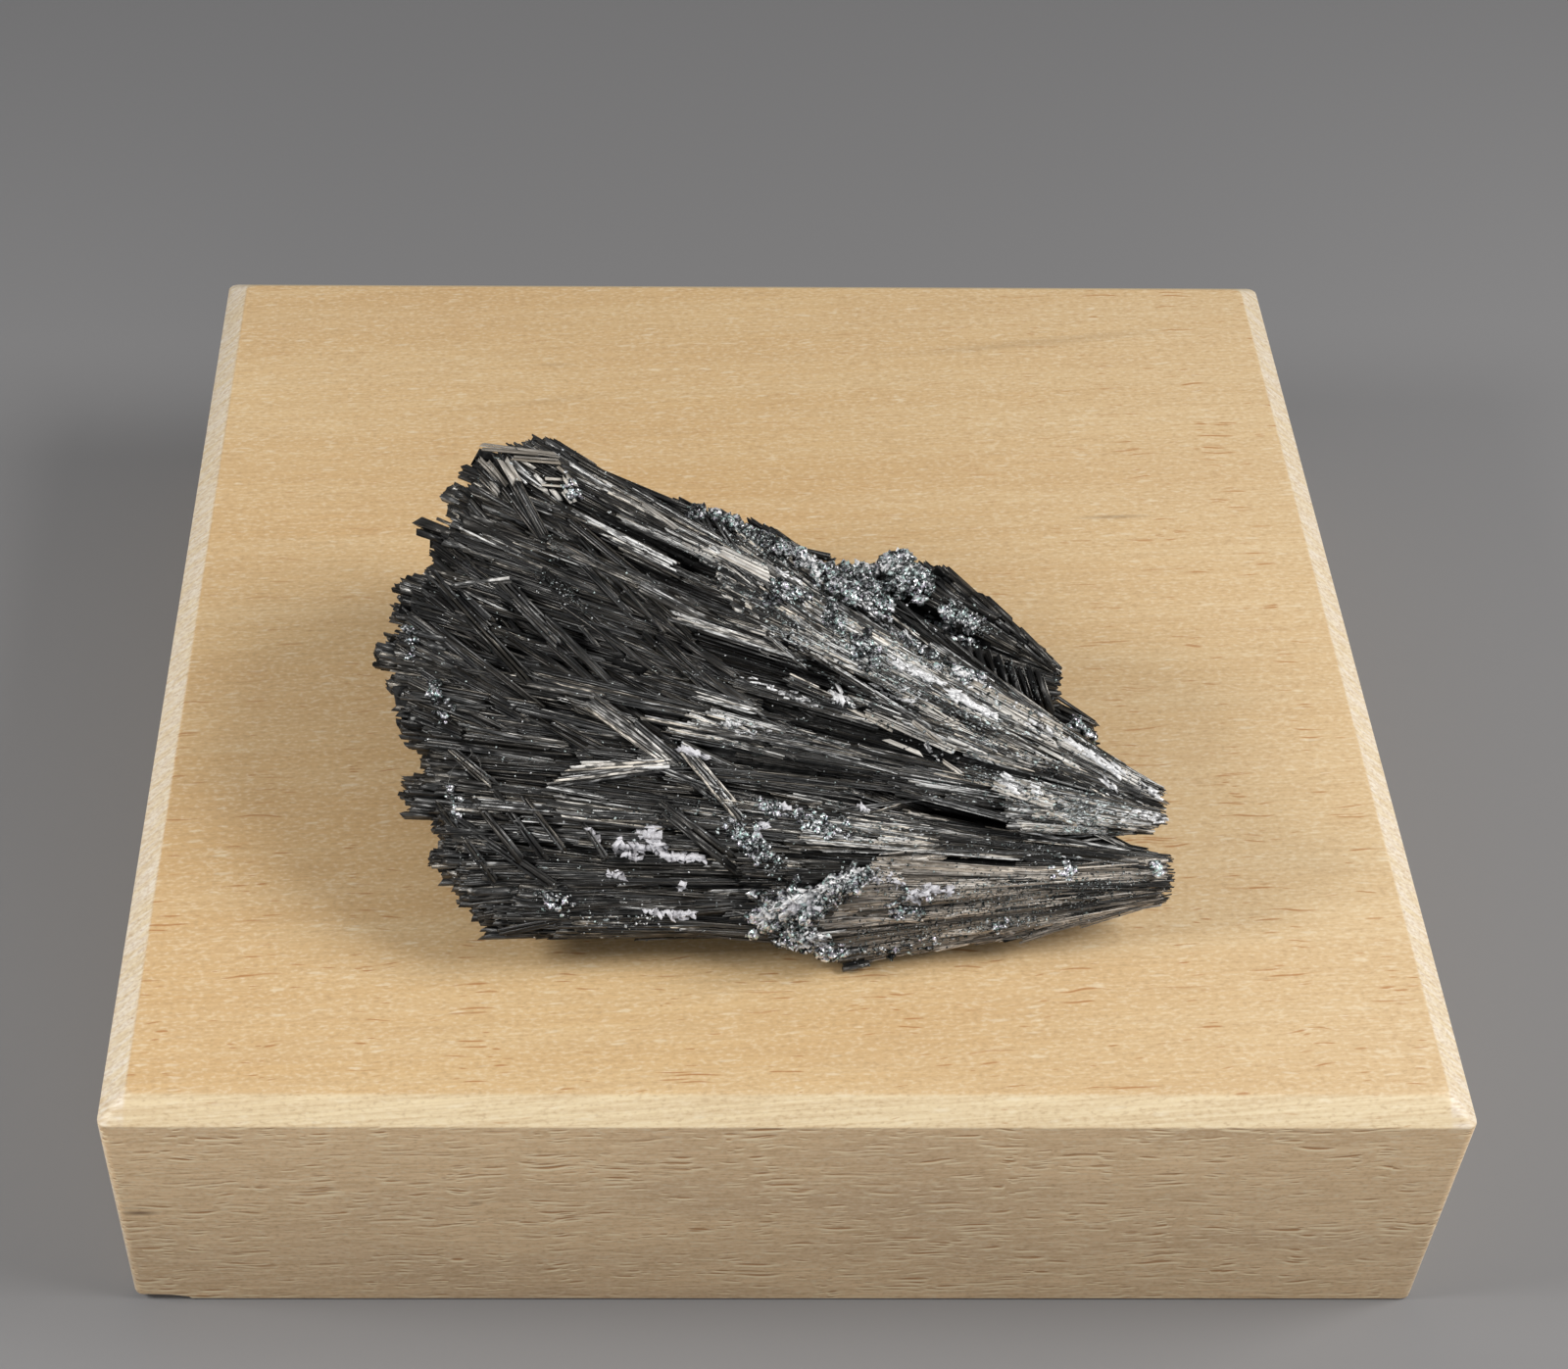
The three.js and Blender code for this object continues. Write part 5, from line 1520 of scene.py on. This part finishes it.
foilMetal = speckledFinish(
    "painted_glare_foil", scale=3000.0, rough=0.65, metallic=0.15, gloss=(0.2, 0.45), tones=(-0.25, 0.2),
    stops=[(0.38, (0.10, 0.10, 0.105)), (0.52, (0.60, 0.60, 0.61)), (0.64, (0.97, 0.97, 0.98))])
shardPiece("painted_glare_foils", foilRows, np.random.default_rng(33), foilMetal)


# painted glare: thin pale flakes in a few patches, for the glare off mirror-like faces

glareFlakeRows = [  # line, spread, count, least and most width, brightness, stretch, swing
    ([(-6, -20, 9.9), (-4.6, -20.2, 9.6)], 0.05, 16, 0.25, 0.4, 0.95, 2.4, 0.3),
    ([(-8.2, -23.7, 7.1), (-7.3, -24.1, 7)], 0.17, 26, 0.2, 0.55, 0.8, 1.2, 1.5),
    ([(-7.6, -24.2, 7), (-6.9, -24.6, 6.4)], 0.17, 20, 0.2, 0.5, 0.8, 1.2, 1.5),
    ([(-9.6, -24.4, 6.6), (-8, -24.5, 6.6)], 0.14, 34, 0.15, 0.4, 0.5, 1.8, 0.8),
    ([(-6.9, -24.7, 6.2), (-4.6, -24.8, 6)], 0.08, 34, 0.15, 0.36, 0.8, 2.2, 0.6),
    ([(-9.5, -24.5, 6.5), (-8.2, -24.8, 6.2)], 0.2, 26, 0.1, 0.3, 0.4, 1.6, 1),
    ([(-11, -23.7, 7.1), (-10.6, -24.2, 7.1)], 0.1, 12, 0.12, 0.3, 0.4, 1.4, 1),
    ([(-10.2, -25.5, 5.6), (-8.9, -25.8, 5.5)], 0.16, 18, 0.1, 0.26, 0.4, 1.5, 1),
    ([(-8, -26.9, 4), (-5.2, -26.9, 3.6)], 0.1, 44, 0.12, 0.32, 0.75, 1.6, 1),
    ([(-5.9, -26, 4.9), (-5.6, -25.9, 4.9)], 0.06, 9, 0.18, 0.34, 0.8, 1.2, 1),
    ([(-1.4, -23.4, 7.3), (-1, -23.4, 7.3)], 0.06, 8, 0.18, 0.34, 0.8, 1.4, 0.8),
    ([(-0.3, -22.5, 8), (0.1, -22.6, 8)], 0.06, 8, 0.18, 0.34, 0.9, 1.4, 0.8),
    ([(4.3, -22, 7.4), (4.7, -22.1, 7.3)], 0.06, 8, 0.18, 0.34, 0.8, 1.3, 1),
    ([(6.8, -27.2, 5.6), (9.4, -27, 5.9)], 0.2, 40, 0.12, 0.34, 0.5, 1.8, 0.8),
    ([(0.2, -27.4, 4.6), (1.6, -27.5, 5)], 0.12, 22, 0.15, 0.36, 0.5, 1.6, 0.8),
    ([(4.6, -26.7, 6.6), (6.4, -26.8, 6)], 0.3, 30, 0.08, 0.22, 0.4, 1.5, 1),
]


def glareFlakeFinish():
    crust = Finish("painted_glare_flakes")
    mottle = crust.noise(crust.place(), 3.0, 0.6, scale=2400.0)
    mottle = crust.maths("ADD", mottle, crust.spread(crust.toneWithPaintedLight(), 0, 1, (-0.2, 0.1)))
    colour = crust.ramp(mottle, [(0.3, (0.30, 0.29, 0.31)), (0.55, (0.78, 0.77, 0.81))])
    return crust.finish(colour, crust.spread(mottle, 0.3, 0.7, (0.35, 0.6)))


needleTree = dressedTree()
shardPiece("painted_glare_flakes", glareFlakeRows, np.random.default_rng(57), glareFlakeFinish(), 0.07)


# fine curled hairs, most of them caught on the front left corner

hairRows = [  # points near the surface
    [(-20.1, -18.3, 10.9), (-19.2, -18.5, 11.2), (-18.2, -19.2, 10.4), (-18.8, -20, 10.2),
     (-19.4, -19.4, 10.4), (-18.9, -18.7, 10.9)],
    [(-18.4, -19.2, 10.4), (-17.6, -20.4, 9.9), (-18.8, -21.1, 9.7), (-19.2, -22.3, 8.9),
     (-18.3, -23.1, 8.4)],
    [(-19.4, -18, 11.4), (-18.6, -19.6, 10.2), (-17.4, -20.6, 9.8), (-17, -21.6, 9.3)],
    [(-18.5, -24.6, 6.9), (-18.2, -25, 6.6), (-18.6, -25.6, 5.9), (-18, -26.2, 5.3)],
    [(3.3, -16, 12.4), (3.2, -16.4, 12), (2.6, -16.6, 11.9)],
    [(-10.9, -26.9, 4.9), (-10.7, -26.2, 5.4), (-10.1, -25.9, 5.9)],
]


hairLook = {"sides": 3, "wobble": 0.08, "steps": 7, "rounding": 4, "thickness": 0.022,
            "endThickness": 0.008, "tone": 0.4}


def makeHairs(rng):
    look = hairLook
    sides = look["sides"]
    corners, quads, first = [], [], 0
    for row in hairRows:
        knots = np.array(row) + rng.normal(0, look["wobble"], (len(row), 3))
        places = np.linspace(0, len(knots) - 1, len(knots) * look["steps"])
        line = pointsOn(knots, np.arange(len(knots)), places)
        for _ in range(look["rounding"]):
            line[1:-1] = (line[:-2] + line[1:-1] * 2 + line[2:]) / 4
        along = unit(np.gradient(line, axis=0))
        side = unit(np.cross(along, (0.3, 0.2, 1.0)))
        up = np.cross(along, side)
        count = len(line)
        swell = np.sin(np.linspace(0.25, math.pi - 0.25, count))[:, None]
        thick = look["thickness"] * swell + look["endThickness"]
        steps = np.arange(count - 1)
        for k in range(sides):
            angle = 2 * math.pi * k / sides
            corners.append(line + (side * math.cos(angle) + up * math.sin(angle)) * thick)
            a, b = first + k * count, first + (k + 1) % sides * count
            quads.append(np.stack([a + steps, b + steps, b + steps + 1, a + steps + 1], 1))
        first += sides * count
    corners, quads = np.concatenate(corners), np.concatenate(quads)
    piece = meshPiece("fine_hairs", corners, quads, np.zeros((len(quads), 4, 2)),
                      np.full(len(corners), look["tone"]), needleMetal)
    selectOnly(piece)
    bpy.ops.object.mode_set(mode="EDIT")
    bpy.ops.mesh.select_all(action="SELECT")
    bpy.ops.mesh.fill_holes(sides=sides)
    bpy.ops.mesh.normals_make_consistent(inside=False)
    bpy.ops.object.mode_set(mode="OBJECT")
    print("hairs laid")


makeHairs(np.random.default_rng(91))
